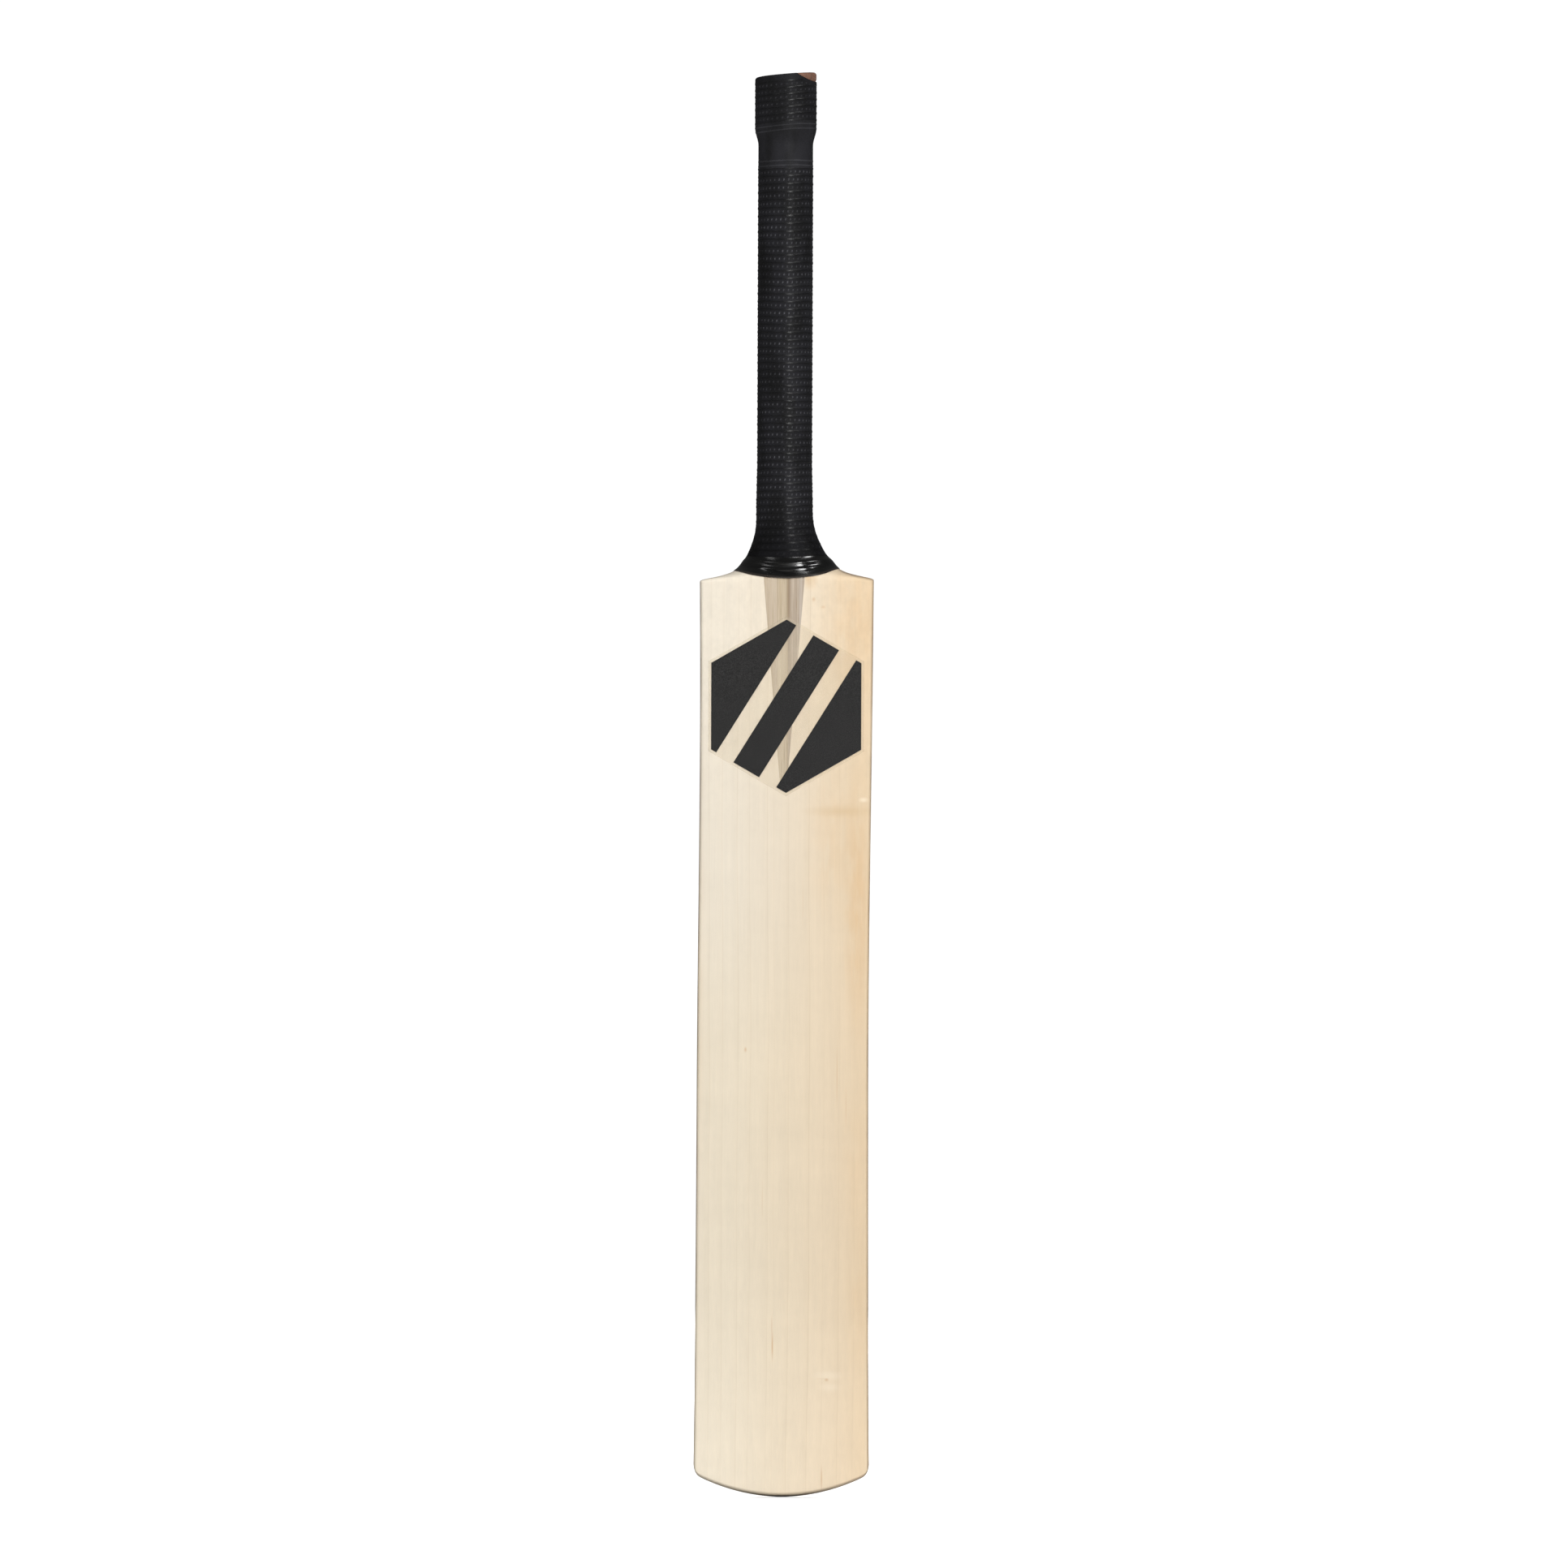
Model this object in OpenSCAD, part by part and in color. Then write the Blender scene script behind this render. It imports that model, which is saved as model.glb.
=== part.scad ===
// Cricket bat, short-handle full size, millimetres.
// +Z runs up the handle, -Y is the hitting face, +X is to the right seen from the face.
// The origin is the lowest point of the toe, under the handle's axis.

/* [Overall] */
// Length from the toe to the high side of the handle end
bat_l = 864; // [840:1:880]
// Length of the blade from the toe to the shoulder line
blade_l = 556.2; // [540:0.2:560]

/* [Blade outline] */
// Width at the shoulder line
shoulder_w = 105.5; // [100:0.5:108]
// Width at the waist of the blade
waist_w = 103.8; // [98:0.2:105]
// Height of the waist above the toe
waist_z = 346; // [300:1:400]
// Width near the toe
toe_w = 106.2; // [100:0.2:108]
// Radius of the rounded toe line
toe_r = 113; // [90:1:160]
// Radius of the toe's two corners
toe_corner_r = 7.5; // [4:0.5:12]
// Radius of the shoulder's outer corners
shoulder_corner_r = 1.5; // [1:0.1:3]
// Sideways set of the shoulders from the handle's axis
shoulder_lean = 1.6; // [0:0.1:2.5]

/* [Blade depth] */
// Depth of the blade through the spine at the shoulder line
shoulder_t = 39; // [34:0.5:42]
// Depth through the spine at the swell
swell_t = 62; // [50:0.5:66]
// Height of the swell above the toe
swell_z = 200; // [170:1:230]
// Depth at the toe
toe_t = 24; // [20:0.5:30]
// Depth of the edges at the shoulder line
shoulder_edge = 22; // [16:0.5:26]
// Depth of the edges at the swell
swell_edge = 36; // [28:0.5:40]
// Depth of the edges at the toe
toe_edge = 16; // [14:0.5:20]
// Radius of the bow along the face
bow_r = 4850; // [4000:50:9000]
// Distance below the shoulder line where the bowed face runs parallel to the handle
bow_level = 97; // [60:1:200]
// Radius of the edge between the face and the sides
front_edge_r = 2.5; // [1.5:0.1:3]
// Radius of the edge between the sides and the back
back_edge_r = 6; // [4:0.5:7]
// Hollowing of the back beside the spine, 1 is straight
flank_power = 1.35; // [1:0.05:1.8]
// Rounding of the ridge along the spine, as a share of the half width
ridge_round = 0.1; // [0.02:0.01:0.3]

/* [Handle] */
// Radius of the turned cane shaft
shaft_r = 14.5; // [13.5:0.1:15]
// Radius of the cane knob at the butt
knob_r = 18; // [17:0.1:18.5]
// Length of the knob, measured from the high side of the end
knob_l = 34; // [28:1:40]
// Thickness of one cane slab, front to back
slab_t = 8.6; // [8.4:0.1:8.8]
// Width of the two middle canes of a slab
cane_w = 6.2; // [5.5:0.1:7]
// Sideways place of the seam between the two middle canes
seam_x = 2.6; // [0:0.2:3]
// Thickness of one rubber layer
rubber_t = 1.5; // [1:0.1:2]
// Slope of the cut end, in degrees, high on the right
end_slope = 4.9; // [0:0.1:7]

/* [Splice] */
// Width of the splice at the shoulder line
splice_w = 24.8; // [24:0.2:27]
// Width of the blunt tip of the splice
splice_tip_w = 4; // [2:0.2:8]
// Depth of the splice below the shoulder line
splice_l = 126; // [105:1:130]

/* [Binding and grip] */
// Thickness of the wound twine
twine_t = 0.9; // [0.6:0.1:1]
// Outer radius of the grip along the shaft
grip_r = 17; // [16.8:0.1:17.4]
// Outer radius of the grip over the knob
butt_r = 19; // [18.8:0.1:19.5]
// Thickness of the grip on the flare over the shoulders
flare_t = 1.2; // [1:0.1:1.4]
// Rise of the grip's lower edge from the middle of the face to the sides
edge_rise = 5.6; // [3:0.2:7]
// Height of the glossy collar tape
collar_h = 12.8; // [8:0.2:16]
// Thickness of the collar tape
collar_t = 0.5; // [0.3:0.1:0.8]

/* [Face mark] */
// Radius of the six-sided mark to its corners
mark_r = 52.5; // [40:0.5:56]
// Distance from the shoulder line down to the middle of the mark
mark_drop = 77.1; // [70:0.1:90]
// Width of the two clear slashes across the mark
slash_w = 12; // [4:0.5:14]
// Lean of the slashes from the vertical, in degrees
slash_lean = 32; // [20:1:45]
// Thickness of the clear film under the mark
film_t = 0.1; // [0.08:0.01:0.15]
// Thickness of the black vinyl
vinyl_t = 0.15; // [0.1:0.01:0.2]

/* [Hidden] */
$fn = 96;

willow = "#e6d8bd";
cane = "#c4b296";
cane_dark = "#b8a78e";
black_rubber = "#232325";
layer_rubber = "#3a3532";
twine = "#d8cbb0";
black_vinyl = "#2c2c2c";

// Heights of the neck, measured up from the shoulder line
ear_top = 44;        // top of the willow ears beside the canes
flare_top = 46;      // where the round tube of the grip begins
sweep_top = 64;      // where the shaft becomes straight
ear_straight = 12;   // the ears' inner faces run straight up to here, then feather out

// Neck outline: a core, a long sweep up the handle and a short lip at the corners
neck_core = 15;
sweep_w = 25.5;
sweep_rate = 0.077;
lip_reach = 2.7;
lip_power = 1.4;
lip_w = shoulder_w / 2 - shoulder_corner_r - neck_core - sweep_w;
neck_depth = 4.5;    // extra half depth at the shoulder line
neck_depth_fall = 18;
neck_blend = [-2, 9]; // the blade's section turns into the neck's oval between these heights
cone_r = neck_core + 0.3; // shaft radius where the ears end

splice_z = blade_l - splice_l;
knob_z = bat_l - knob_l;
knob_cone_l = 9;
knob_lip = 1.5;
face_vertex_z = blade_l - bow_level;
face_vertex_y = -shoulder_t / 2 + bow_r - sqrt(bow_r * bow_r - bow_level * bow_level);
layer_pitch = slab_t + rubber_t;
toe_fade = 120;      // the sections are level above this height
toe_round = 2;       // rounding of the face and the back into the toe
lean_from = 250;     // the blade is straight up to here, then leans to the shoulders
lean_full = 520;
lean_hold = 8;       // the neck leans back to the axis above this
neck_lean = 1.3;     // how much further the sweep of the neck leans, just over the shoulder line
neck_lean_rise = 2;
neck_lean_top = [9, 17];

// The grip's flare over the neck, from its curved lower edge to the round tube
edge_low = 0.4;      // the lower edge's height at the middle of the face
edge_power = 1.27;
edge_level = 3;      // the edge's rise follows the width of the neck at this height
round_from = 20;     // the flare turns round above this height
tube_top_r = 17.5;   // outer radius where the flare meets the tube
taper_top = 70;      // the tube thins down to the grip's own radius up to here
flare_steps = [0, 0.05, 0.1, 0.17, 0.25, 0.35, 0.47, 0.6, 0.75, 0.88, 1];
join_step = 0.04;    // the flare's top runs up inside the tube's wall by this much
join_top = flare_top + 0.5;
collar_steps = [0, 0.07, 0.15, 0.25, 0.37, 0.5, 0.65, 0.82, 1];

// The rim of the grip at the butt
rim_drop = 0.3;      // it stops this far under the cut end
rim_turn_x = 6;      // it starts to fall here, where the end of the canes shows
rim_turn_drop = 1.2;
rim_slope = 22;

film_margin = 2;     // the clear film stands out past the vinyl
slash_x = 15;        // the slashes' middles, left and right of the mark's middle
bow_fn = 1440;       // facets round the whole circle of the bow

glue_gap = 0.03;
sleeve_gap = 0.15;
tube_inner_r = shaft_r + twine_t + sleeve_gap;
tube_low_inner_r = cone_r + twine_t + sleeve_gap;
knob_low = knob_z - knob_cone_l;
far = 200;           // past every surface, for cutting shapes

function smooth(t) = let (c = min(1, max(0, t))) c * c * (3 - 2 * c);
function mix(a, b, t) = a + (b - a) * t;
function swell(at_toe, at_swell, at_shoulder, z) =
    z < swell_z
    ? at_toe + (at_swell - at_toe) * sin(90 * max(0, z) / swell_z)
    : at_shoulder + (at_swell - at_shoulder)
        * pow(cos(90 * min(1, (z - swell_z) / (blade_l - swell_z))), 2);
function spine_depth(z) = swell(toe_t, swell_t, shoulder_t, z);
function edge_depth(z) = swell(toe_edge, swell_edge, shoulder_edge, z);
function face_y(z) =
    face_vertex_y - bow_r + sqrt(bow_r * bow_r - pow(z - face_vertex_z, 2));

// Half width of the blade below the shoulder line: narrowest at the waist
function side_x(z) =
    z > waist_z
    ? mix(waist_w, shoulder_w, pow((z - waist_z) / (blade_l - waist_z), 2)) / 2
    : mix(waist_w, toe_w, pow((waist_z - z) / waist_z, 2)) / 2;
function neck_x(h) =
    neck_core + sweep_w * exp(-sweep_rate * h) + lip_w * exp(-pow(h / lip_reach, lip_power));
function neck_y(h) = neck_core + neck_depth * exp(-max(0, h) / neck_depth_fall);
function half_width(z) =
    let (h = z - blade_l, c = h + shoulder_corner_r)
    h > 0 ? neck_x(h)
    : c > 0 ? side_x(z) - shoulder_corner_r + sqrt(pow(shoulder_corner_r, 2) - c * c)
    : side_x(z);

// Height of the toe line above its lowest point at a distance x from the middle
corner_x = toe_w / 2 - toe_corner_r;
corner_z = toe_r - sqrt(pow(toe_r - toe_corner_r, 2) - corner_x * corner_x);
toe_tangent_x = corner_x * toe_r / (toe_r - toe_corner_r);
function toe_rise(x) =
    abs(x) < toe_tangent_x
    ? toe_r - sqrt(toe_r * toe_r - x * x)
    : corner_z - sqrt(max(0, pow(toe_corner_r, 2) - pow(abs(x) - corner_x, 2)));

toe_tilt = face_vertex_z / bow_r;
toe_back_y = face_y(0) + toe_t - toe_round;

// Half a section runs front middle, face, front corner, side, back corner, back middle
face_steps = [0, 0.16, 0.34, 0.52, 0.7, 0.85, 0.94];
corner_steps = [0, 30, 60, 90];
back_steps = [0.94, 0.82, 0.64, 0.45, 0.27, 0.12, 0];
half_n = len(face_steps) + 2 * len(corner_steps) + 1 + len(back_steps);
ring_n = 2 * half_n - 2;

// How far up the spine the back stands, 1 at the rounded ridge and 0 at the edge
function flank_rise(u) =
    let (far_u = sqrt(1 + ridge_round * ridge_round) - ridge_round)
    pow(1 - (sqrt(u * u + ridge_round * ridge_round) - ridge_round) / far_u, flank_power);

// Points of half a blade section, for its half width, face height, edge depth and spine depth
function blade_half(w, f, e, t) =
    let (flat = w - front_edge_r, flank = w - back_edge_r)
    concat(
        [for (u = face_steps) [u * flat, f]],
        [for (a = corner_steps)
            [flat + front_edge_r * sin(a), f + front_edge_r * (1 - cos(a))]],
        [[w, f + e / 2]],
        [for (a = corner_steps)
            [flank + back_edge_r * cos(a), f + e - back_edge_r * (1 - sin(a))]],
        [for (u = back_steps) [u * flank, f + e + (t - e) * flank_rise(u)]]
    );

// Half of the blade's and neck's section at height z, drawn in by inset
function skin_half(z, inset = 0) =
    let (
        h = z - blade_l,
        w = half_width(z),
        turn = smooth((h - neck_blend[0]) / (neck_blend[1] - neck_blend[0])),
        bat = blade_half(w - inset, face_y(z) + inset, edge_depth(z) - 2 * inset,
            spine_depth(z) - 2 * inset)
    )
    [for (i = [0:half_n - 1])
        let (a = -90 + 180 * i / (half_n - 1))
        [mix(bat[i][0], w * cos(a), turn), mix(bat[i][1], neck_y(h) * sin(a), turn)]];

// How far the skin stands to the right of the handle's axis at height z
function lean(z) =
    z < blade_l
    ? shoulder_lean * smooth((z - lean_from) / (lean_full - lean_from))
    : shoulder_lean * (1 - smooth((z - blade_l - lean_hold) / (ear_top - lean_hold)))
        + neck_lean * smooth((z - blade_l) / neck_lean_rise)
            * (1 - smooth((z - blade_l - neck_lean_top[0]) / (neck_lean_top[1] - neck_lean_top[0])));

// A whole ring from the points of its right half, set sideways by the lean
function both_sides(half) =
    let (left = [for (i = [half_n - 2:-1:1]) [-half[i][0], half[i][1], half[i][2]]])
    [for (p = concat(half, left)) [p[0] + lean(p[2]), p[1], p[2]]];

// One ring of the blade's skin; s is its height above the toe line.
// The toe is cut square to the bowed face, so its back edge is the lowest
function skin_ring(s, inset = 0) =
    let (half = skin_half(s, inset), fade = pow(max(0, 1 - s / toe_fade), 2))
    both_sides([for (p = half)
        [p[0], p[1], s + (toe_rise(p[0]) + toe_tilt * (toe_back_y - p[1])) * fade]]);

// A ring of the grip's flare: its height runs from the curved lower edge to flare_top,
// and it lies outside the neck by grow, turning into a circle of radius top_r
function flare_ring(share, grow, top_r, top_h) =
    both_sides([for (i = [0:half_n - 1])
        let (
            a = -90 + 180 * i / (half_n - 1),
            out = abs(skin_half(blade_l + edge_level)[i][0]) / half_width(blade_l + edge_level),
            low = edge_low + edge_rise * pow(out, edge_power),
            h = mix(low, top_h, share),
            p = skin_half(blade_l + h)[i],
            k = smooth((h - round_from) / (flare_top - round_from)),
            x = p[0] * (1 + grow / half_width(blade_l + h)),
            y = p[1] * (1 + grow / neck_y(h))
        )
        [mix(x, top_r * cos(a), k), mix(y, top_r * sin(a), k), blade_l + h]]);

toe_rings = [[0, toe_round], [0.6, 0.6], [toe_round, 0]];
lower_heights = [14, 30, 52, 80, toe_fade, 160, swell_z, 240, 280, 320, 360, 395];
splice_heights = [for (i = [0:8]) mix(splice_z, blade_l - 8, i / 8)];
neck_heights = [-3, -1.5, -0.8, -0.2, 0, 1, 2, 3, 4.2, 6, 8.5, 12, 16, 21, 27, 35, ear_top];
upper_heights = concat(splice_heights, [for (h = neck_heights) blade_l + h]);

// Faces of the bands between rings; a band turned inwards has its faces the other way round
function bands(rings, from, inwards) = [
    for (r = [0:rings - 2], i = [0:ring_n - 1])
        let (a = from + r * ring_n + i, b = from + r * ring_n + (i + 1) % ring_n)
        each inwards
            ? [[a, b + ring_n, a + ring_n], [a, b, b + ring_n]]
            : [[a, a + ring_n, b + ring_n], [a, b + ring_n, b]]
];

// Faces that close an end of a solid, as strips from the front half to the back half
function end_faces(from, upwards) = [
    for (side = [-1, 1], k = [0:ring_n / 4 - 1])
        let (
            n = ring_n,
            front = [(n + side * k) % n, (n + side * (k + 1)) % n],
            back = [n / 2 - side * k, n / 2 - side * (k + 1)],
            corners = (side == 1) == upwards
                ? [front[0], back[0], back[1], front[1]]
                : [front[0], front[1], back[1], back[0]],
            c = [for (v = corners) from + v]
        )
        each [for (f = [[c[0], c[1], c[2]], [c[0], c[2], c[3]]])
            if (f[0] != f[1] && f[1] != f[2] && f[0] != f[2]) f]
];

// A closed solid through a stack of rings
module ring_solid(rings) {
    polyhedron(
        points = [for (r = rings) each r],
        faces = concat(
            bands(len(rings), 0, false),
            end_faces(0, false),
            end_faces((len(rings) - 1) * ring_n, true)
        )
    );
}

// A closed sleeve between an outer and an inner stack of rings
module ring_sleeve(outer, inner) {
    count = len(outer);
    top = (count - 1) * ring_n;
    shift = count * ring_n;
    polyhedron(
        points = concat([for (r = outer) each r], [for (r = inner) each r]),
        faces = concat(
            bands(count, 0, false),
            bands(count, shift, true),
            [for (i = [0:ring_n - 1])
                let (j = (i + 1) % ring_n)
                each [
                    [i, j, j + shift], [i, j + shift, i + shift],
                    [top + i, top + j + shift, top + j], [top + i, top + i + shift, top + j + shift]
                ]]
        )
    );
}

// The wedge that the splice fills, right through the blade, with the ears' inner faces above
module splice_wedge() {
    tip = splice_tip_w / 2;
    wide = splice_w / 2;
    right = [
        [tip, splice_z],
        [wide, blade_l],
        [wide, blade_l + ear_straight],
        [cone_r, blade_l + ear_top]
    ];
    left = [for (i = [len(right) - 1:-1:0]) [-right[i][0], right[i][1]]];
    rotate([90, 0, 0])
        linear_extrude(height = 2 * far, center = true)
            polygon(concat(right, left));
}

module blade() {
    color(willow)
        difference() {
            ring_solid(concat(
                [for (r = toe_rings) skin_ring(r[0], r[1])],
                [for (z = concat(lower_heights, upper_heights)) skin_ring(z)]
            ));
            splice_wedge();
            translate([-far, -far, blade_l + ear_top]) cube(2 * far);
        }
}

// Everything above the sloping cut at the butt, lowered by drop
module above_end(drop = 0) {
    translate([knob_r - knob_lip, 0, bat_l - drop])
        rotate([0, -end_slope, 0])
            translate([-far, -far, 0]) cube(2 * far);
}

// The part of the laminated handle that lies in one cell of its section
module handle_cell(x0, x1, y0, y1) {
    intersection() {
        ring_solid([for (z = upper_heights) skin_ring(z)]);
        splice_wedge();
        translate([x0, y0, splice_z - 1])
            cube([x1 - x0, y1 - y0, blade_l + ear_top - splice_z + 1]);
    }
    difference() {
        intersection() {
            rotate_extrude()
                polygon([
                    [0, blade_l + ear_top],
                    [cone_r, blade_l + ear_top],
                    [shaft_r, blade_l + sweep_top],
                    [shaft_r, knob_low],
                    [knob_r, knob_z],
                    [knob_r, bat_l + knob_lip],
                    [0, bat_l + knob_lip]
                ]);
            translate([x0, y0, blade_l + ear_top])
                cube([x1 - x0, y1 - y0, bat_l - blade_l]);
        }
        above_end();
    }
}

// Cane number column (0 to 3, left to right) of slab number slab (0 to 3, front to back)
module cane_strip(column, slab) {
    x = [-far, seam_x - cane_w, seam_x, seam_x + cane_w, far];
    middle = (slab - 1.5) * layer_pitch;
    y0 = slab == 0 ? -far : middle - slab_t / 2;
    y1 = slab == 3 ? far : middle + slab_t / 2;
    color((column + slab) % 2 == 0 ? cane : cane_dark)
        handle_cell(x[column], x[column + 1], y0, y1);
}

// Rubber layer number (-1 to 1, front to back)
module rubber_layer(number) {
    y = number * layer_pitch;
    color(layer_rubber) handle_cell(-far, far, y - rubber_t / 2, y + rubber_t / 2);
}

module twine_binding() {
    low = blade_l + ear_top;
    color(twine)
        rotate_extrude()
            polygon([
                [cone_r, low],
                [cone_r + twine_t, low],
                [shaft_r + twine_t, blade_l + sweep_top],
                [shaft_r + twine_t, knob_low],
                [shaft_r, knob_low],
                [shaft_r, blade_l + sweep_top]
            ]);
}

module grip() {
    color(black_rubber)
        union() {
            ring_sleeve(
                [for (s = flare_steps)
                    flare_ring(s, flare_t + sleeve_gap, tube_top_r - join_step, join_top)],
                [for (s = flare_steps)
                    flare_ring(s, sleeve_gap, tube_low_inner_r + 2 * join_step, join_top)]
            );
            difference() {
                rotate_extrude()
                    polygon([
                        [tube_low_inner_r, blade_l + flare_top],
                        [tube_top_r, blade_l + flare_top],
                        [grip_r, blade_l + taper_top],
                        [grip_r, knob_low],
                        [butt_r, knob_z],
                        [butt_r, bat_l + knob_lip],
                        [knob_r + glue_gap, bat_l + knob_lip],
                        [knob_r + glue_gap, knob_z],
                        [tube_inner_r, knob_low],
                        [tube_inner_r, blade_l + sweep_top]
                    ]);
                above_end(rim_drop);
                // The rim sits lower on the right, where the end of the canes shows
                translate([rim_turn_x, 0, bat_l - rim_turn_drop])
                    rotate([0, rim_slope, 0])
                        translate([0, -far, 0]) cube(2 * far);
            }
        }
}

module collar_tape() {
    inner_grow = flare_t + sleeve_gap + glue_gap;
    top = collar_h + edge_low;
    inner = [for (s = collar_steps) flare_ring(s, inner_grow, tube_top_r, top)];
    outer = [for (s = collar_steps) flare_ring(s, inner_grow + collar_t, tube_top_r, top)];
    color(black_rubber) ring_sleeve(outer, inner);
}

// A thin layer on the bowed face, from gap to gap + t in front of it, inside an outline
module face_layer(gap, t) {
    intersection() {
        translate([lean(blade_l - mark_drop), 0, blade_l - mark_drop])
            rotate([90, 0, 0])
                linear_extrude(height = far) children();
        translate([0, face_vertex_y - bow_r, face_vertex_z])
            rotate([0, 90, 0])
                difference() {
                    cylinder(r = bow_r - gap, h = 2 * far, center = true, $fn = bow_fn);
                    cylinder(r = bow_r - gap - t, h = 3 * far, center = true, $fn = bow_fn);
                }
    }
}

// The six-sided outline, with a corner at the top
module mark_outline(r) {
    rotate(90) circle(r = r, $fn = 6);
}

// The piece of the mark between two lines that lean with the slashes
module mark_piece(from_x, to_x) {
    color(black_vinyl)
        face_layer(glue_gap + film_t, vinyl_t)
            intersection() {
                mark_outline(mark_r);
                rotate(-slash_lean)
                    translate([from_x, -far]) square([to_x - from_x, 2 * far]);
            }
}

module mark_film() {
    color("white", 0.3) face_layer(glue_gap, film_t) mark_outline(mark_r + film_margin);
}
module mark_left() { mark_piece(-far, -slash_x - slash_w / 2); }
module mark_middle() { mark_piece(-slash_x + slash_w / 2, slash_x - slash_w / 2); }
module mark_right() { mark_piece(slash_x + slash_w / 2, far); }

blade();
cane_strip(0, 0);  // cane_front_far_left
cane_strip(1, 0);  // cane_front_left
cane_strip(2, 0);  // cane_front_right
cane_strip(3, 0);  // cane_front_far_right
cane_strip(0, 1);  // cane_inner_front_far_left
cane_strip(1, 1);  // cane_inner_front_left
cane_strip(2, 1);  // cane_inner_front_right
cane_strip(3, 1);  // cane_inner_front_far_right
cane_strip(0, 2);  // cane_inner_back_far_left
cane_strip(1, 2);  // cane_inner_back_left
cane_strip(2, 2);  // cane_inner_back_right
cane_strip(3, 2);  // cane_inner_back_far_right
cane_strip(0, 3);  // cane_back_far_left
cane_strip(1, 3);  // cane_back_left
cane_strip(2, 3);  // cane_back_right
cane_strip(3, 3);  // cane_back_far_right
rubber_layer(-1);  // rubber_layer_front
rubber_layer(0);  // rubber_layer_middle
rubber_layer(1);  // rubber_layer_back
twine_binding();
grip();
collar_tape();
mark_film();
mark_left();
mark_middle();
mark_right();
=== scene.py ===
"""A cricket bat's looks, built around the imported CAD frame. Shapes are worked out in millimetres."""

import math

import bmesh
import bpy
import numpy as np
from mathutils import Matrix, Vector


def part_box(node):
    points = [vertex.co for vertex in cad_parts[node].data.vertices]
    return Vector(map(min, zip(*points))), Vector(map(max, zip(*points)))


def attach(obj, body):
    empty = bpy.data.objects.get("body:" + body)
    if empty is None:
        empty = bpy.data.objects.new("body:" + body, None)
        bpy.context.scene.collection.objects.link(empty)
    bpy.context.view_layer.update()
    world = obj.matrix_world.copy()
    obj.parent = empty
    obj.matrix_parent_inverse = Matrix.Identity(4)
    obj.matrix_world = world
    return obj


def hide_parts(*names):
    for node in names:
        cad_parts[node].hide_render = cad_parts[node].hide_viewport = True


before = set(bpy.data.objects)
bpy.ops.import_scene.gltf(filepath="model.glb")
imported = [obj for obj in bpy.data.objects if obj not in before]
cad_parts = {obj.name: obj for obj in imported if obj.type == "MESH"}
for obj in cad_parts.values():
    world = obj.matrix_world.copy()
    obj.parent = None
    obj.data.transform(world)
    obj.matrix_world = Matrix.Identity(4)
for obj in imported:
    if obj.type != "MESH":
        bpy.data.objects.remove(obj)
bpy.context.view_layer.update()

MM = 0.001
BODY = "root"
rng = np.random.default_rng(7)


# ---------------------------------------------------------------- sizes, in millimetres
def cad(node):
    """A CAD node's lowest and highest corners."""
    return [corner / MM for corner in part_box(node)]


# The blade's outline, seen from its face
EAR_TOP = 44                         # the ears up the neck end this far above the shoulders
SHOULDER_Z = cad("blade")[1].z - EAR_TOP
SHOULDER_W, SHOULDER_CORNER_R = 105.5, 1.5
WAIST_W, WAIST_Z = 103.8, 346
TOE_W = -2 * cad("blade")[0].x
TOE_R, TOE_CORNER_R, TOE_ROUND = 113, 7.5, 2.0
TOE_FADE = 120                       # sections are level from here up
SHOULDER_LEAN, LEAN_FROM, LEAN_FULL, LEAN_HOLD = 1.6, 250, 520, 8     # the blade stands to the right
NECK_LEAN, NECK_LEAN_RISE, NECK_LEAN_TOP = 0.5, 2, (9, 17)            # and the neck's foot a little more
SHOULDER_TILT, TILT_REACH = 0.011, (-60, -10, 10, 34)                 # the shoulders climb to the right

# The blade's sections
SWELL_Z = 200
SPINE = (24, 62, 39)                 # depth of the spine at the toe, the swell and the shoulder
EDGE = (16, 36, 22)                  # depth of the edges at the same places
BOW_R, BOW_LEVEL = 4850, 97          # radius of the face's bow, and how far below the shoulder its vertex is
FRONT_EDGE_R, BACK_EDGE_R = 2.5, 6.0
FLANK_POWER, RIDGE_ROUND = 1.35, 0.1
EDGE_WIDTH = 1.5                     # how far the painted shade of the rounded edges reaches over the face
EDGE_DEPTH, NECK_EDGE_DEPTH = 9, 60  # and how far back from it, on the sides and on the neck

# The neck: a core, a long sweep and a short lip that meets the shoulder
NECK_CORE, SWEEP_W, SWEEP_RATE = 15, 25.5, 0.077
LIP_REACH, LIP_POWER = 2.7, 1.4
LIP_W = SHOULDER_W / 2 - SHOULDER_CORNER_R - NECK_CORE - SWEEP_W
NECK_DEPTH, NECK_DEPTH_FALL = 4.5, 18
NECK_BLEND = (-2, 9)                 # the blade's section turns into the neck's oval between these heights

# The handle
BAT_L = 864
SPLICE_L, SPLICE_W, SPLICE_TIP_W, EAR_STRAIGHT = 126, 24.8, 4, 12
CONE_R, SHAFT_R, SWEEP_TOP = 15.3, 14.5, 64
KNOB_R, KNOB_L, KNOB_CONE_L, KNOB_LIP = 18.0, 34, 9, 1.5
CANE_W, SEAM_X, SLAB_T, RUBBER_T = 6.2, 2.6, 8.6, 1.5
END_SLOPE = math.tan(math.radians(4.9))
END_ROUND, END_SPREAD = 1.8, 0.55    # rounding of the cut end, and its swelling over the low side of the rim
TWINE_T = 0.9

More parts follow.
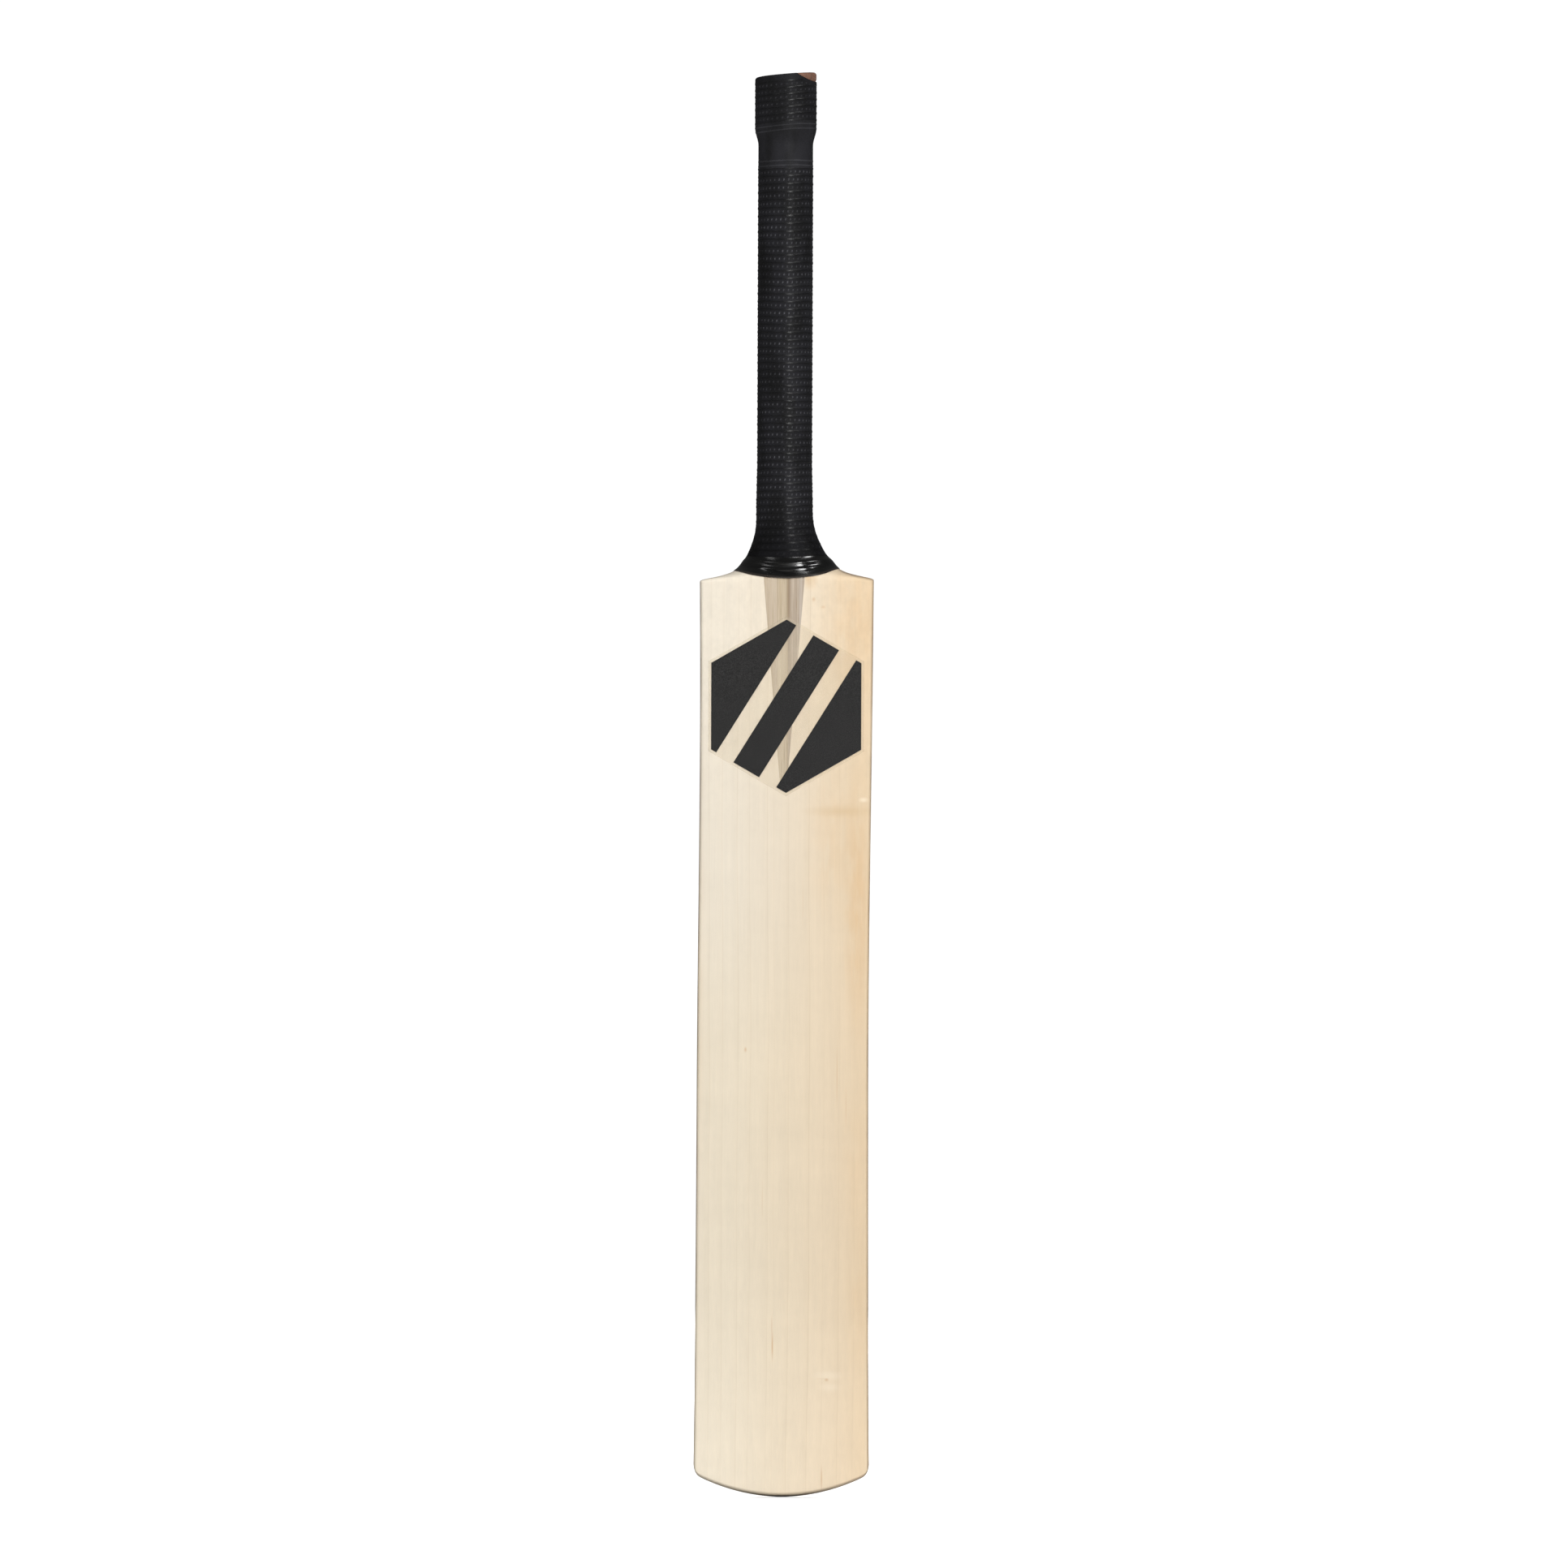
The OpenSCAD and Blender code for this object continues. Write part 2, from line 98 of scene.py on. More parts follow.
# The grip and its collar
GRIP_R, BUTT_R, SLEEVE_GAP = 17, 19, 0.15
EDGE_LOW, EDGE_RISE = 0.4, 5.2       # the grip's lower edge at the face's middle, and its rise at the sides
EDGE_POWER, EDGE_LEVEL, EDGE_RIGHT = 1.27, 3, 0.15      # it rises a little more on the right
FLARE_GROW, EDGE_GROW, ROUND_FROM, FLARE_TOP, TUBE_TOP_R = 1.35, 0.4, 20, 46, 17.5
RIM_TURN_X, RIM_FALL, RIM_POWER = 6.85, 4.9, 1.5    # where the rim starts to fall, how far, and how roundly
COLLAR_H, COLLAR_T = 12.8, 0.5

SPLICE_Z = SHOULDER_Z - SPLICE_L
VERTEX_Z = SHOULDER_Z - BOW_LEVEL
VERTEX_Y = -SPINE[2] / 2 + BOW_R - math.sqrt(BOW_R**2 - BOW_LEVEL**2)
KNOB_Z = BAT_L - KNOB_L
GRIP_TOP = BAT_L - SHOULDER_Z        # heights on the grip count from the shoulder


# ---------------------------------------------------------------- the blade's form
def smooth(t):
    c = np.clip(t, 0, 1)
    return c * c * (3 - 2 * c)


def mix(a, b, t):
    return a + (b - a) * t


def swell(sizes, z):
    toe, at_swell, shoulder = sizes
    below = toe + (at_swell - toe) * math.sin(math.pi / 2 * max(0, z) / SWELL_Z)
    share = min(1, (z - SWELL_Z) / (SHOULDER_Z - SWELL_Z))
    above = shoulder + (at_swell - shoulder) * math.cos(math.pi / 2 * share) ** 2
    return below if z < SWELL_Z else above


def face_y(z):
    return VERTEX_Y - BOW_R + math.sqrt(BOW_R**2 - (z - VERTEX_Z) ** 2)


def side_x(z):
    if z > WAIST_Z:
        return mix(WAIST_W, SHOULDER_W, ((z - WAIST_Z) / (SHOULDER_Z - WAIST_Z)) ** 2) / 2
    return mix(WAIST_W, TOE_W, ((WAIST_Z - z) / WAIST_Z) ** 2) / 2


def neck_x(h):
    sweep = SWEEP_W * math.exp(-SWEEP_RATE * h)
    return NECK_CORE + sweep + LIP_W * math.exp(-((max(0, h) / LIP_REACH) ** LIP_POWER))


def neck_y(h):
    return NECK_CORE + NECK_DEPTH * math.exp(-max(0, h) / NECK_DEPTH_FALL)


def half_width(z):
    h = z - SHOULDER_Z
    c = h + SHOULDER_CORNER_R
    if h > 0:
        return neck_x(h)
    if c > 0:
        return side_x(z) - SHOULDER_CORNER_R + math.sqrt(SHOULDER_CORNER_R**2 - c * c)
    return side_x(z)


CORNER_X = TOE_W / 2 - TOE_CORNER_R
CORNER_Z = TOE_R - math.sqrt((TOE_R - TOE_CORNER_R) ** 2 - CORNER_X**2)
TOE_TANGENT_X = CORNER_X * TOE_R / (TOE_R - TOE_CORNER_R)
TOE_TILT = VERTEX_Z / BOW_R
TOE_BACK_Y = face_y(0) + SPINE[0] - TOE_ROUND


def toe_rise(x):
    """Height of the toe line above its lowest point."""
    x = np.abs(x)
    arc = TOE_R - np.sqrt(TOE_R**2 - np.minimum(x, TOE_TANGENT_X) ** 2)
    corner = CORNER_Z - np.sqrt(np.maximum(0, TOE_CORNER_R**2 - (x - CORNER_X) ** 2))
    return np.where(x < TOE_TANGENT_X, arc, corner)


# Half a section runs front middle, face, front corner, side, back corner, back middle.
# KEYS are the places along it, and the finer places between them keep its form.
FACE_KEYS = [0, 0.16, 0.34, 0.52, 0.7, 0.85, 0.94, 1]
BACK_KEYS = [1, 0.94, 0.82, 0.64, 0.45, 0.27, 0.12, 0]
FRONT_CORNER, SIDE_MIDDLE, BACK_CORNER, HALF_END = (7, 10), 11, (12, 15), 22
FINE = 4
PLACES = np.linspace(0, HALF_END, HALF_END * FINE + 1)


def flank_rise(u):
    full = math.sqrt(1 + RIDGE_ROUND**2) - RIDGE_ROUND
    return (1 - (np.sqrt(u * u + RIDGE_ROUND**2) - RIDGE_ROUND) / full) ** FLANK_POWER


def blade_half(w, f, e, t, q):
    """Points of half a blade section: half width w, face at f, edge depth e, spine depth t."""
    flat, flank = w - FRONT_EDGE_R, w - BACK_EDGE_R
    u = np.interp(q, range(0, 8), FACE_KEYS)
    a = np.radians(np.interp(q, FRONT_CORNER, (0, 90)))
    x = u * flat + FRONT_EDGE_R * np.sin(a)
    y = f + FRONT_EDGE_R * (1 - np.cos(a))
    side = (q > FRONT_CORNER[1]) & (q < BACK_CORNER[0])
    stops = (FRONT_CORNER[1], SIDE_MIDDLE, BACK_CORNER[0])
    y = np.where(side, np.interp(q, stops, (f + FRONT_EDGE_R, f + e / 2, f + e - BACK_EDGE_R)), y)
    b = np.radians(np.interp(q, BACK_CORNER, (0, 90)))
    v = np.interp(q, range(15, 23), BACK_KEYS)
    rise = np.where(q > BACK_CORNER[1], (t - e) * flank_rise(v), 0)
    back_x = v * flank + BACK_EDGE_R * np.cos(b) * (q < BACK_CORNER[1])
    back_y = f + e - BACK_EDGE_R * (1 - np.sin(b)) + rise
    back = q >= BACK_CORNER[0]
    return np.where(back, back_x, x), np.where(back, back_y, y)


def skin_half(z, q, inset=0.0):
    """Half of the blade's or neck's section at height z."""
    h = z - SHOULDER_Z
    w = half_width(z)
    turn = smooth((h - NECK_BLEND[0]) / (NECK_BLEND[1] - NECK_BLEND[0]))
    depths = (swell(EDGE, z) - 2 * inset, swell(SPINE, z) - 2 * inset)
    x, y = blade_half(w - inset, face_y(z) + inset, *depths, q)
    a = np.radians(-90 + 180 * q / HALF_END)
    return mix(x, w * np.cos(a), turn), mix(y, neck_y(h) * np.sin(a), turn)


def lean(z):
    """How far the skin stands to the right of the handle's axis."""
    h = z - SHOULDER_Z
    below = smooth((z - LEAN_FROM) / (LEAN_FULL - LEAN_FROM))
    above = 1 - smooth((h - LEAN_HOLD) / (EAR_TOP - LEAN_HOLD))
    low, high = NECK_LEAN_TOP
    neck = smooth(h / NECK_LEAN_RISE) * (1 - smooth((h - low) / (high - low)))
    return SHOULDER_LEAN * np.where(h < 0, below, above) + NECK_LEAN * neck


def tilted(points):
    """Points near the shoulders, raised on the right and lowered on the left."""
    raised = points.copy()
    share = smooth(np.interp(points[:, 2] - SHOULDER_Z, TILT_REACH, (0, 1, 1, 0)))
    raised[:, 2] += SHOULDER_TILT * points[:, 0] * share
    return raised


def both_sides(half):
    """A whole ring from the points of its right half, set sideways by the lean."""
    ring = np.concatenate([half, half[-2:0:-1] * (-1, 1, 1)])
    ring[:, 0] += lean(ring[:, 2])
    return tilted(ring)


def skin_ring(s, inset=0.0):
    x, y = skin_half(s, PLACES, inset)
    fade = max(0, 1 - s / TOE_FADE) ** 2
    z = s + (toe_rise(x) + TOE_TILT * (TOE_BACK_Y - y)) * fade
    return both_sides(np.stack([x, y, z], 1))


def rim_height(phi, r):
    """The grip's top edge follows the sloping cut end and falls away on the right."""
    x = r * np.sin(phi)
    line = GRIP_TOP - (KNOB_R - KNOB_LIP - np.minimum(x, RIM_TURN_X)) * END_SLOPE
    t = np.clip((x - RIM_TURN_X) / (r - RIM_TURN_X), 0, 1)
    return line - RIM_FALL * (1 - (1 - t) ** RIM_POWER)


# ---------------------------------------------------------------- mesh helpers
def mesh_object(name, points, faces):
    mesh = bpy.data.meshes.new(name)
    mesh.from_pydata([tuple(p) for p in np.asarray(points) * MM], [], faces)
    mesh.validate()
    obj = bpy.data.objects.new(name, mesh)
    bpy.context.scene.collection.objects.link(obj)
    return obj


def band_faces(count, n):
    """Quads between count rings of n points."""
    r, i = np.meshgrid(np.arange(count - 1), np.arange(n), indexing="ij")
    a = (r * n + i).ravel()
    b = (r * n + (i + 1) % n).ravel()
    return np.stack([a, b, b + n, a + n], 1).tolist()


def strip_faces(n, start):
    """Quads over an end, from the front half of its ring to the back half. n is a multiple of 4."""
    quads = []
    for side in (-1, 1):
        for k in range(n // 4):
            front = [(side * k) % n, (side * (k + 1)) % n]
            back = [(n // 2 - side * k) % n, (n // 2 - side * (k + 1)) % n]
            quad = [front[0], front[1], back[1], back[0]]
            quad = [start + v for i, v in enumerate(quad) if v not in quad[:i]]
            if len(quad) > 2:
                quads.append(quad)
    return quads


def solid(name, rings):
    n, count = len(rings[0]), len(rings)
    faces = band_faces(count, n)
    faces += strip_faces(n, 0) + strip_faces(n, (count - 1) * n)
    obj = mesh_object(name, np.concatenate(rings), faces)
    outward(obj)
    return obj


def outward(obj):
    """Makes every face of a closed mesh look outwards."""
    bm = bmesh.new()
    bm.from_mesh(obj.data)
    bmesh.ops.recalc_face_normals(bm, faces=bm.faces)
    bm.to_mesh(obj.data)
    bm.free()


def smooth_shade(obj, sharp=35):
    obj.data.polygons.foreach_set("use_smooth", [True] * len(obj.data.polygons))
    obj.data.set_sharp_from_angle(angle=math.radians(sharp))


def cut_away(obj, cutter):
    """Takes the cutter's space out of obj."""
    change = obj.modifiers.new("cut", "BOOLEAN")
    change.operation, change.solver, change.object = "DIFFERENCE", "EXACT", cutter
    graph = bpy.context.evaluated_depsgraph_get()
    made = bpy.data.meshes.new_from_object(obj.evaluated_get(graph))
    obj.modifiers.remove(change)
    obj.data = made
    bpy.data.objects.remove(cutter)


def keep_side(bm, point, normal):
    """Cuts a closed bmesh with a plane, drops what the normal points at and closes the cut."""
    geom = bm.verts[:] + bm.edges[:] + bm.faces[:]
    cut = bmesh.ops.bisect_plane(
        bm, geom=geom, plane_co=Vector(point) * MM, plane_no=normal, clear_outer=True, dist=1e-7
    )
    edges = [e for e in cut["geom_cut"] if isinstance(e, bmesh.types.BMEdge)]
    if edges:
        bmesh.ops.contextual_create(bm, geom=edges)


def finish_piece(obj, material, slot, *nodes):
    obj.data.materials.clear()
    obj.data.materials.append(material)
    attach(obj, BODY)
    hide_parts(*nodes)


# ---------------------------------------------------------------- material helpers
def srgb(r, g, b):
    """A linear colour from display values of 0 to 255."""
    return [((v / 255 + 0.055) / 1.055) ** 2.4 if v > 10 else v / 255 / 12.92 for v in (r, g, b)] + [1]


class Nodes:
    """Short calls for building a material's node tree."""

    def __init__(self, name):
        self.material = bpy.data.materials.new(name)
        self.material.use_nodes = True
        self.tree = self.material.node_tree
        self.tree.nodes.clear()
        self.out = self.tree.nodes.new("ShaderNodeOutputMaterial")
        self.skin = self.tree.nodes.new("ShaderNodeBsdfPrincipled")
        self.link(self.skin.outputs[0], self.out.inputs["Surface"])
        self.place = self.tree.nodes.new("ShaderNodeTexCoord").outputs["Object"]

    def link(self, a, b):
        self.tree.links.new(a, b)

    def put(self, socket, value):
        if isinstance(value, bpy.types.NodeSocket):
            self.link(value, socket)
        else:
            socket.default_value = value

    def math(self, kind, a, b=0.0):
        node = self.tree.nodes.new("ShaderNodeMath")
        node.operation = kind
        for socket, value in zip(node.inputs, (a, b)):
            self.put(socket, value)
        return node.outputs[0]

    def add(self, a, b):
        return self.math("ADD", a, b)

    def times(self, a, b):
        return self.math("MULTIPLY", a, b)

    def split(self, vector):
        node = self.tree.nodes.new("ShaderNodeSeparateXYZ")
        self.put(node.inputs[0], vector)
        return node.outputs

    def stretch(self, x, y, z):
        """The object's own coordinates, each multiplied by its own factor."""
        node = self.tree.nodes.new("ShaderNodeVectorMath")
        node.operation = "MULTIPLY"
        self.put(node.inputs[0], self.place)
        node.inputs[1].default_value = (x, y, z)
        return node.outputs[0]

    def noise(self, vector, scale=1.0, detail=3.0, rough=0.5):
        """Noise of 0 to 1 with its middle at a half."""
        node = self.tree.nodes.new("ShaderNodeTexNoise")
        self.put(node.inputs["Vector"], vector)
        node.inputs["Scale"].default_value = scale
        node.inputs["Detail"].default_value = detail
        node.inputs["Roughness"].default_value = rough
        return node.outputs["Fac"]

    def ramp(self, value, low, high, to_low=0.0, to_high=1.0, kind="SMOOTHSTEP"):
        node = self.tree.nodes.new("ShaderNodeMapRange")
        node.interpolation_type = kind
        for socket, v in zip(node.inputs, (value, low, high, to_low, to_high)):
            self.put(socket, v)
        return node.outputs[0]

    def blend(self, factor, a, b, kind="MIX"):
        node = self.tree.nodes.new("ShaderNodeMix")
        node.data_type, node.blend_type = "RGBA", kind
        self.put(node.inputs["Factor"], factor)
        self.put(node.inputs[6], a)
        self.put(node.inputs[7], b)
        return node.outputs[2]

    def scale_colour(self, colour, value):
        node = self.tree.nodes.new("ShaderNodeVectorMath")
        node.operation = "SCALE"
        self.put(node.inputs[0], colour[:3] if isinstance(colour, (list, tuple)) else colour)
        self.put(node.inputs["Scale"], value)
        return node.outputs[0]

    def spot(self, x, z, x0, z0, wide, tall):
        """1 in the middle of a soft ellipse on the face, falling to 0 at its rim; millimetres."""
        dx = self.times(self.add(x, -x0), 1 / wide)
        dz = self.times(self.add(z, -z0), 1 / tall)
        far = self.math("SQRT", self.add(self.times(dx, dx), self.times(dz, dz)))
        return self.ramp(far, 0, 1, 1, 0)

    def attribute(self, name):
        node = self.tree.nodes.new("ShaderNodeAttribute")
        node.attribute_name = name
        return node.outputs["Fac"]

    def finish(self, colour, rough, bump=None, strength=0.1, distance=0.0002):
        self.put(self.skin.inputs["Base Color"], colour)
        self.put(self.skin.inputs["Roughness"], rough)
        if bump is not None:
            node = self.tree.nodes.new("ShaderNodeBump")
            node.inputs["Strength"].default_value = strength
            node.inputs["Distance"].default_value = distance
            self.put(node.inputs["Height"], bump)
            self.link(node.outputs[0], self.skin.inputs["Normal"])
        return self.material


# ---------------------------------------------------------------- materials
# Growth lines on the face: place across it in millimetres, depth of the line, tint of the wood after it
GRAIN = [
    (-44.6, 0.55, 0.10), (-36.8, 0.50, -0.05), (-27.6, 0.60, 0.06), (-20.2, 0.55, -0.04),
    (-9.4, 0.70, 0.10), (-5.6, 0.45, -0.12), (3.2, 0.65, 0.06), (15.8, 0.85, 0.12),
    (24.5, 0.35, -0.08), (34.2, 0.60, 0.10), (43.5, 0.35, 0.05),
]

# Soft spots: the place x, z of the middle, the reach across and along in millimetres, and the strength
TAN_PATCHES = [
    (45, 360, 11, 110, 0.6), (30, 400, 20, 70, 0.25), (47, 120, 12, 60, 0.2), (16, 557, 5.5, 10, 0.75),
    (-52, 340, 7, 200, 0.15), (45, 200, 14, 60, 0.15), (43, 530, 28, 70, 0.4),
]
FLECKS = [
    (-5.6, 92, 0.75, 12, 0.55), (-6.0, 104, 0.4, 9, 0.35), (24.4, 12, 0.7, 11, 0.45),
    (27.3, 71.6, 1.8, 1.4, 0.5), (25, 72.2, 6, 0.9, 0.12), (-22.5, 271, 1.2, 2.4, 0.45),
    (17.9, 544, 1.6, 2.0, 0.4), (23.6, 539.3, 2.2, 1.4, 0.3), (33, 255, 0.4, 26, 0.35),
    (38.5, 236, 0.35, 20, 0.3), (-12, 180, 0.35, 17, 0.25), (12, 360, 0.3, 24, 0.2),
]
PALE_SPOTS = [(48.5, 422.5, 4, 2.2, 0.5), (28, 74, 12, 4, 0.25), (29, 67, 9, 4, 0.2)]
# The painted shadow of a shallow dent across the face, in the same columns as above; the blade's shape has
# no dent
DENT_SHADOW = (36, 415.5, 30, 5, 0.4)


def growth(n, x, wander):
    """The growth lines, and the tint of the wood that changes at each of them."""
    fine_wander = n.noise(n.stretch(60, 60, 14), detail=2)
    gx = n.add(x, n.times(n.add(wander, -0.5), 5.0))
    gx = n.add(gx, n.times(n.add(fine_wander, -0.5), 0.7))
    strength = n.ramp(n.noise(n.stretch(40, 40, 9), detail=3), 0.3, 0.65, 0.35, 1.0)
    lines, tint = 0.0, 0.0
    for place, depth, step in GRAIN:
        off = n.add(gx, -place)
        sharp = n.ramp(off, 0.0, 0.45, 1, 0)
        soft = n.ramp(off, -4.0, 0.0, 0, 0.2)
        line = n.math("MINIMUM", sharp, n.ramp(off, -0.3, 0.0))
        lines = n.add(lines, n.times(n.math("MAXIMUM", line, n.times(soft, sharp)), depth))
        tint = n.add(tint, n.ramp(off, 0.0, 0.8, 0, step))
    return n.times(lines, strength), tint


def wood_tone(n, x, z, wander, tint):
    """Pale wood on the left, tan on the right, a little duller between the ends of the blade."""
    warm = n.ramp(n.add(x, n.times(n.add(wander, -0.5), 14)), -50, 50, 0, 1, "LINEAR")
    colour = n.blend(n.math("POWER", warm, 1.6), srgb(237, 228, 212), srgb(231, 209, 177))
    middle = n.times(n.ramp(z, -20, 160), n.ramp(z, 860, 330))
    colour = n.blend(n.times(middle, 0.55), colour, srgb(228, 226, 222), "MULTIPLY")
    low = n.times(n.ramp(z, 400, 250), n.ramp(warm, 0.4, 1, 0.5, 0))
    colour = n.blend(low, colour, srgb(255, 250, 238), "MULTIPLY")
    colour = n.scale_colour(colour, n.ramp(tint, -0.4, 0.6, 0.955, 1.045, "LINEAR"))
    patchy = n.ramp(n.noise(n.stretch(160, 160, 45), detail=4), 0.3, 0.6, 0.35, 1.15)
    for *patch, power in TAN_PATCHES:
        share = n.times(n.times(n.spot(x, z, *patch), patchy), power)
        colour = n.blend(share, colour, srgb(214, 181, 138))
    return colour


def face_marks(n, x, y, z, colour):
    """Flecks, short streaks, pin knots and the painted shadow of a shallow dent, on the face only."""
    off = n.add(z, -VERTEX_Z)
    depth = n.add(n.add(y, -VERTEX_Y), n.times(n.times(off, off), 0.5 / BOW_R))
    front = n.ramp(depth, 3, 10, 1, 0)
    for marks, tone in (
        (FLECKS, srgb(194, 143, 78)), (PALE_SPOTS, srgb(250, 240, 220)), ([DENT_SHADOW], srgb(200, 170, 125)),
    ):
        for *mark, power in marks:
            share = n.times(n.times(n.spot(x, z, *mark), power), front)
            colour = n.blend(share, colour, tone)
    return colour


def willow():
    n = Nodes("willow")
    x, y, z = n.split(n.stretch(1000, 1000, 1000))
    wander = n.noise(n.stretch(8, 8, 5), detail=2)
    lines, tint = growth(n, x, wander)
    colour = wood_tone(n, x, z, wander, tint)

    # Fibres, a soft cross ripple and mottling
    fibre = n.noise(n.stretch(1700, 1700, 18), detail=4, rough=0.65)
    broad = n.noise(n.stretch(330, 330, 6), detail=3)
    ripple = n.noise(n.stretch(22, 22, 60), detail=2)
    mottle = n.noise(n.stretch(260, 260, 170), detail=4, rough=0.6)
    shade = 1.0
    for noise, strength in (
        (fibre, 0.08), (broad, 0.10), (ripple, 0.07), (mottle, n.ramp(z, 380, 520, 0.05, 0.19)),
    ):
        shade = n.add(shade, n.times(n.add(noise, -0.5), strength))
    colour = n.scale_colour(colour, shade)
    colour = n.blend(n.times(lines, 0.32), colour, srgb(186, 160, 120))
    colour = face_marks(n, x, y, z, colour)

    # Painted shade: the rounded edges are darkened as if turning away from the light
    edge = n.attribute("edge")
    uneven = n.ramp(n.noise(n.stretch(50, 50, 30), detail=3), 0.3, 0.7, 0.6, 1.0)
    colour = n.blend(n.times(n.times(edge, uneven), 0.95), colour, srgb(108, 88, 73))
    bump = n.add(n.times(fibre, 0.5), n.times(lines, -0.6))
    rough = n.ramp(broad, 0.3, 0.7, 0.42, 0.52)
    n.skin.inputs["Specular IOR Level"].default_value = 0.35
    return n.finish(colour, rough, bump, 0.12, 0.0001)


def cane(name, light, dark, seam_side):
    """Planed cane: long fibres, fine pores and a brown stain towards the cut end."""
    n = Nodes(name)
    x, y, z = n.split(n.stretch(1000, 1000, 1000))
    fibre = n.noise(n.stretch(2600, 2600, 26), detail=4, rough=0.7)
    bands = n.noise(n.stretch(700, 700, 9), detail=3)
    streak = n.noise(n.stretch(1500, 1500, 60), detail=2)
    colour = n.blend(n.ramp(bands, 0.32, 0.68), dark, light)
    colour = n.scale_colour(colour, n.ramp(fibre, 0.25, 0.75, 0.86, 1.13, "LINEAR"))
    colour = n.blend(n.ramp(streak, 0.58, 0.72, 0, 0.5), colour, srgb(148, 126, 98))
    if seam_side:
        off = n.times(n.add(x, -SEAM_X), seam_side)
        seam = n.ramp(off, 0.0, n.add(n.times(bands, 3.5), 0.3), 0.7, 0)
        seam = n.times(seam, n.ramp(z, SHOULDER_Z - 60, SHOULDER_Z - 8, 0.35, 1.0))
        colour = n.blend(seam, colour, srgb(138, 117, 92))
    stain = n.ramp(z, KNOB_Z - 2, KNOB_Z + 4)
    end_grain = n.noise(n.stretch(1300, 1300, 120), detail=3)
    brown = n.blend(n.ramp(end_grain, 0.2, 0.8), srgb(114, 83, 69), srgb(130, 95, 78))
    colour = n.blend(stain, colour, brown)
    rough = n.ramp(fibre, 0.3, 0.7, 0.5, 0.62)
    n.skin.inputs["Specular IOR Level"].default_value = 0.3
    return n.finish(colour, rough, fibre, 0.2, 0.0001)


def layer_rubber():
    """Grey rubber between the canes, stained with them at the cut end."""
    n = Nodes("layer_rubber")
    z = n.times(n.split(n.place)[2], 1000)
    speck = n.noise(n.place, 2600, 2)
    cloud = n.noise(n.place, 60, 3)
    shade = n.add(n.times(n.add(speck, -0.5), 0.5), n.times(n.add(cloud, -0.5), 0.35))
    tone = n.blend(n.ramp(z, BAT_L - 12, BAT_L - 9), srgb(52, 47, 44), srgb(104, 76, 63))
    tone = n.scale_colour(tone, n.add(shade, 1.0))
    return n.finish(tone, n.ramp(cloud, 0.3, 0.7, 0.55, 0.67), speck, 0.25, 0.0001)


def grip_rubber():
    """Moulded rubber: smooth dark ribs, with greyer, drier rubber on the dots between them. The dots'
    lightness is partly painted light, lighter where the grip faces the front, and the flare is darkened as
    painted shade.
    """
    n = Nodes("grip_rubber")
    rib, dot = n.attribute("rib"), n.attribute("dot")
    speck = n.noise(n.place, 2600, 2)
    cloud = n.noise(n.stretch(70, 70, 25), detail=3)
    tone = n.blend(n.ramp(cloud, 0.35, 0.65), srgb(24, 24, 25), srgb(33, 33, 36))
    tone = n.blend(n.ramp(rib, 0.2, 0.9, 0, 0.6), tone, srgb(15, 15, 16))
    # Painted light and uneven wear: the dot attribute is lighter where the grip faces the front
    wear_and_front_light = n.times(dot, n.ramp(cloud, 0.35, 0.65, 0.4, 1.0))
    tone = n.blend(wear_and_front_light, tone, srgb(90, 90, 95))
    tone = n.scale_colour(tone, n.ramp(speck, 0.2, 0.8, 0.65, 1.35, "LINEAR"))
    z = n.times(n.split(n.place)[2], 1000)
    above_flare = n.ramp(z, SHOULDER_Z + 12, SHOULDER_Z + 44)
    # Painted shade: the flare, which faces up into the top light, is darkened
    tone = n.scale_colour(tone, n.ramp(above_flare, 0, 1, 0.6, 1.0, "LINEAR"))
    rough = n.add(n.ramp(cloud, 0.3, 0.7, 0.44, 0.52), n.ramp(rib, 0.3, 1.0, 0, -0.19))
    gloss = n.times(n.ramp(rib, 0.3, 1.0, 0.1, 0.28), n.ramp(above_flare, 0, 1, 0.5, 1.0, "LINEAR"))
    n.put(n.skin.inputs["Specular IOR Level"], gloss)
    return n.finish(tone, rough, speck, 0.2, 0.00008)


def tape():
    n = Nodes("glossy_tape")
    cloud = n.noise(n.stretch(60, 60, 240), detail=3)
    tone = n.blend(n.ramp(cloud, 0.3, 0.7), srgb(4, 4, 4), srgb(10, 10, 9))
    # Painted reflection: a brown band along the tape's lower edge, as if mirroring the wood below it
    tone = n.blend(n.times(n.attribute("painted_reflection"), 0.7), tone, srgb(52, 46, 41))
    n.skin.inputs["Specular IOR Level"].default_value = 1.0
    return n.finish(tone, n.ramp(cloud, 0.3, 0.7, 0.12, 0.26), cloud, 0.15, 0.0003)


def vinyl():
    n = Nodes("speckled_vinyl")
    speck = n.noise(n.place, 2500, 3, 0.6)
    cloud = n.noise(n.place, 90, 2)
    tone = n.blend(n.ramp(speck, 0.34, 0.74), srgb(21, 21, 21), srgb(52, 51, 51))
    tone = n.scale_colour(tone, n.ramp(cloud, 0.2, 0.8, 0.92, 1.08, "LINEAR"))
    n.skin.inputs["Specular IOR Level"].default_value = 0.3
    return n.finish(tone, 0.62, speck, 0.3, 0.00008)


def film():
    n = Nodes("clear_film")
    cloud = n.noise(n.place, 120, 3)
    n.skin.inputs["Alpha"].default_value = 0.12
    tone = n.blend(n.ramp(cloud, 0.3, 0.7), srgb(226, 214, 190), srgb(238, 228, 206))
    return n.finish(tone, 0.2, cloud, 0.05, 0.0002)


def twine():
    n = Nodes("waxed_twine")
    fibre = n.noise(n.stretch(900, 900, 5200), detail=3, rough=0.7)
    tone = n.blend(n.ramp(fibre, 0.3, 0.7), srgb(188, 172, 140), srgb(226, 214, 186))
    return n.finish(tone, 0.6, fibre, 0.4, 0.0002)


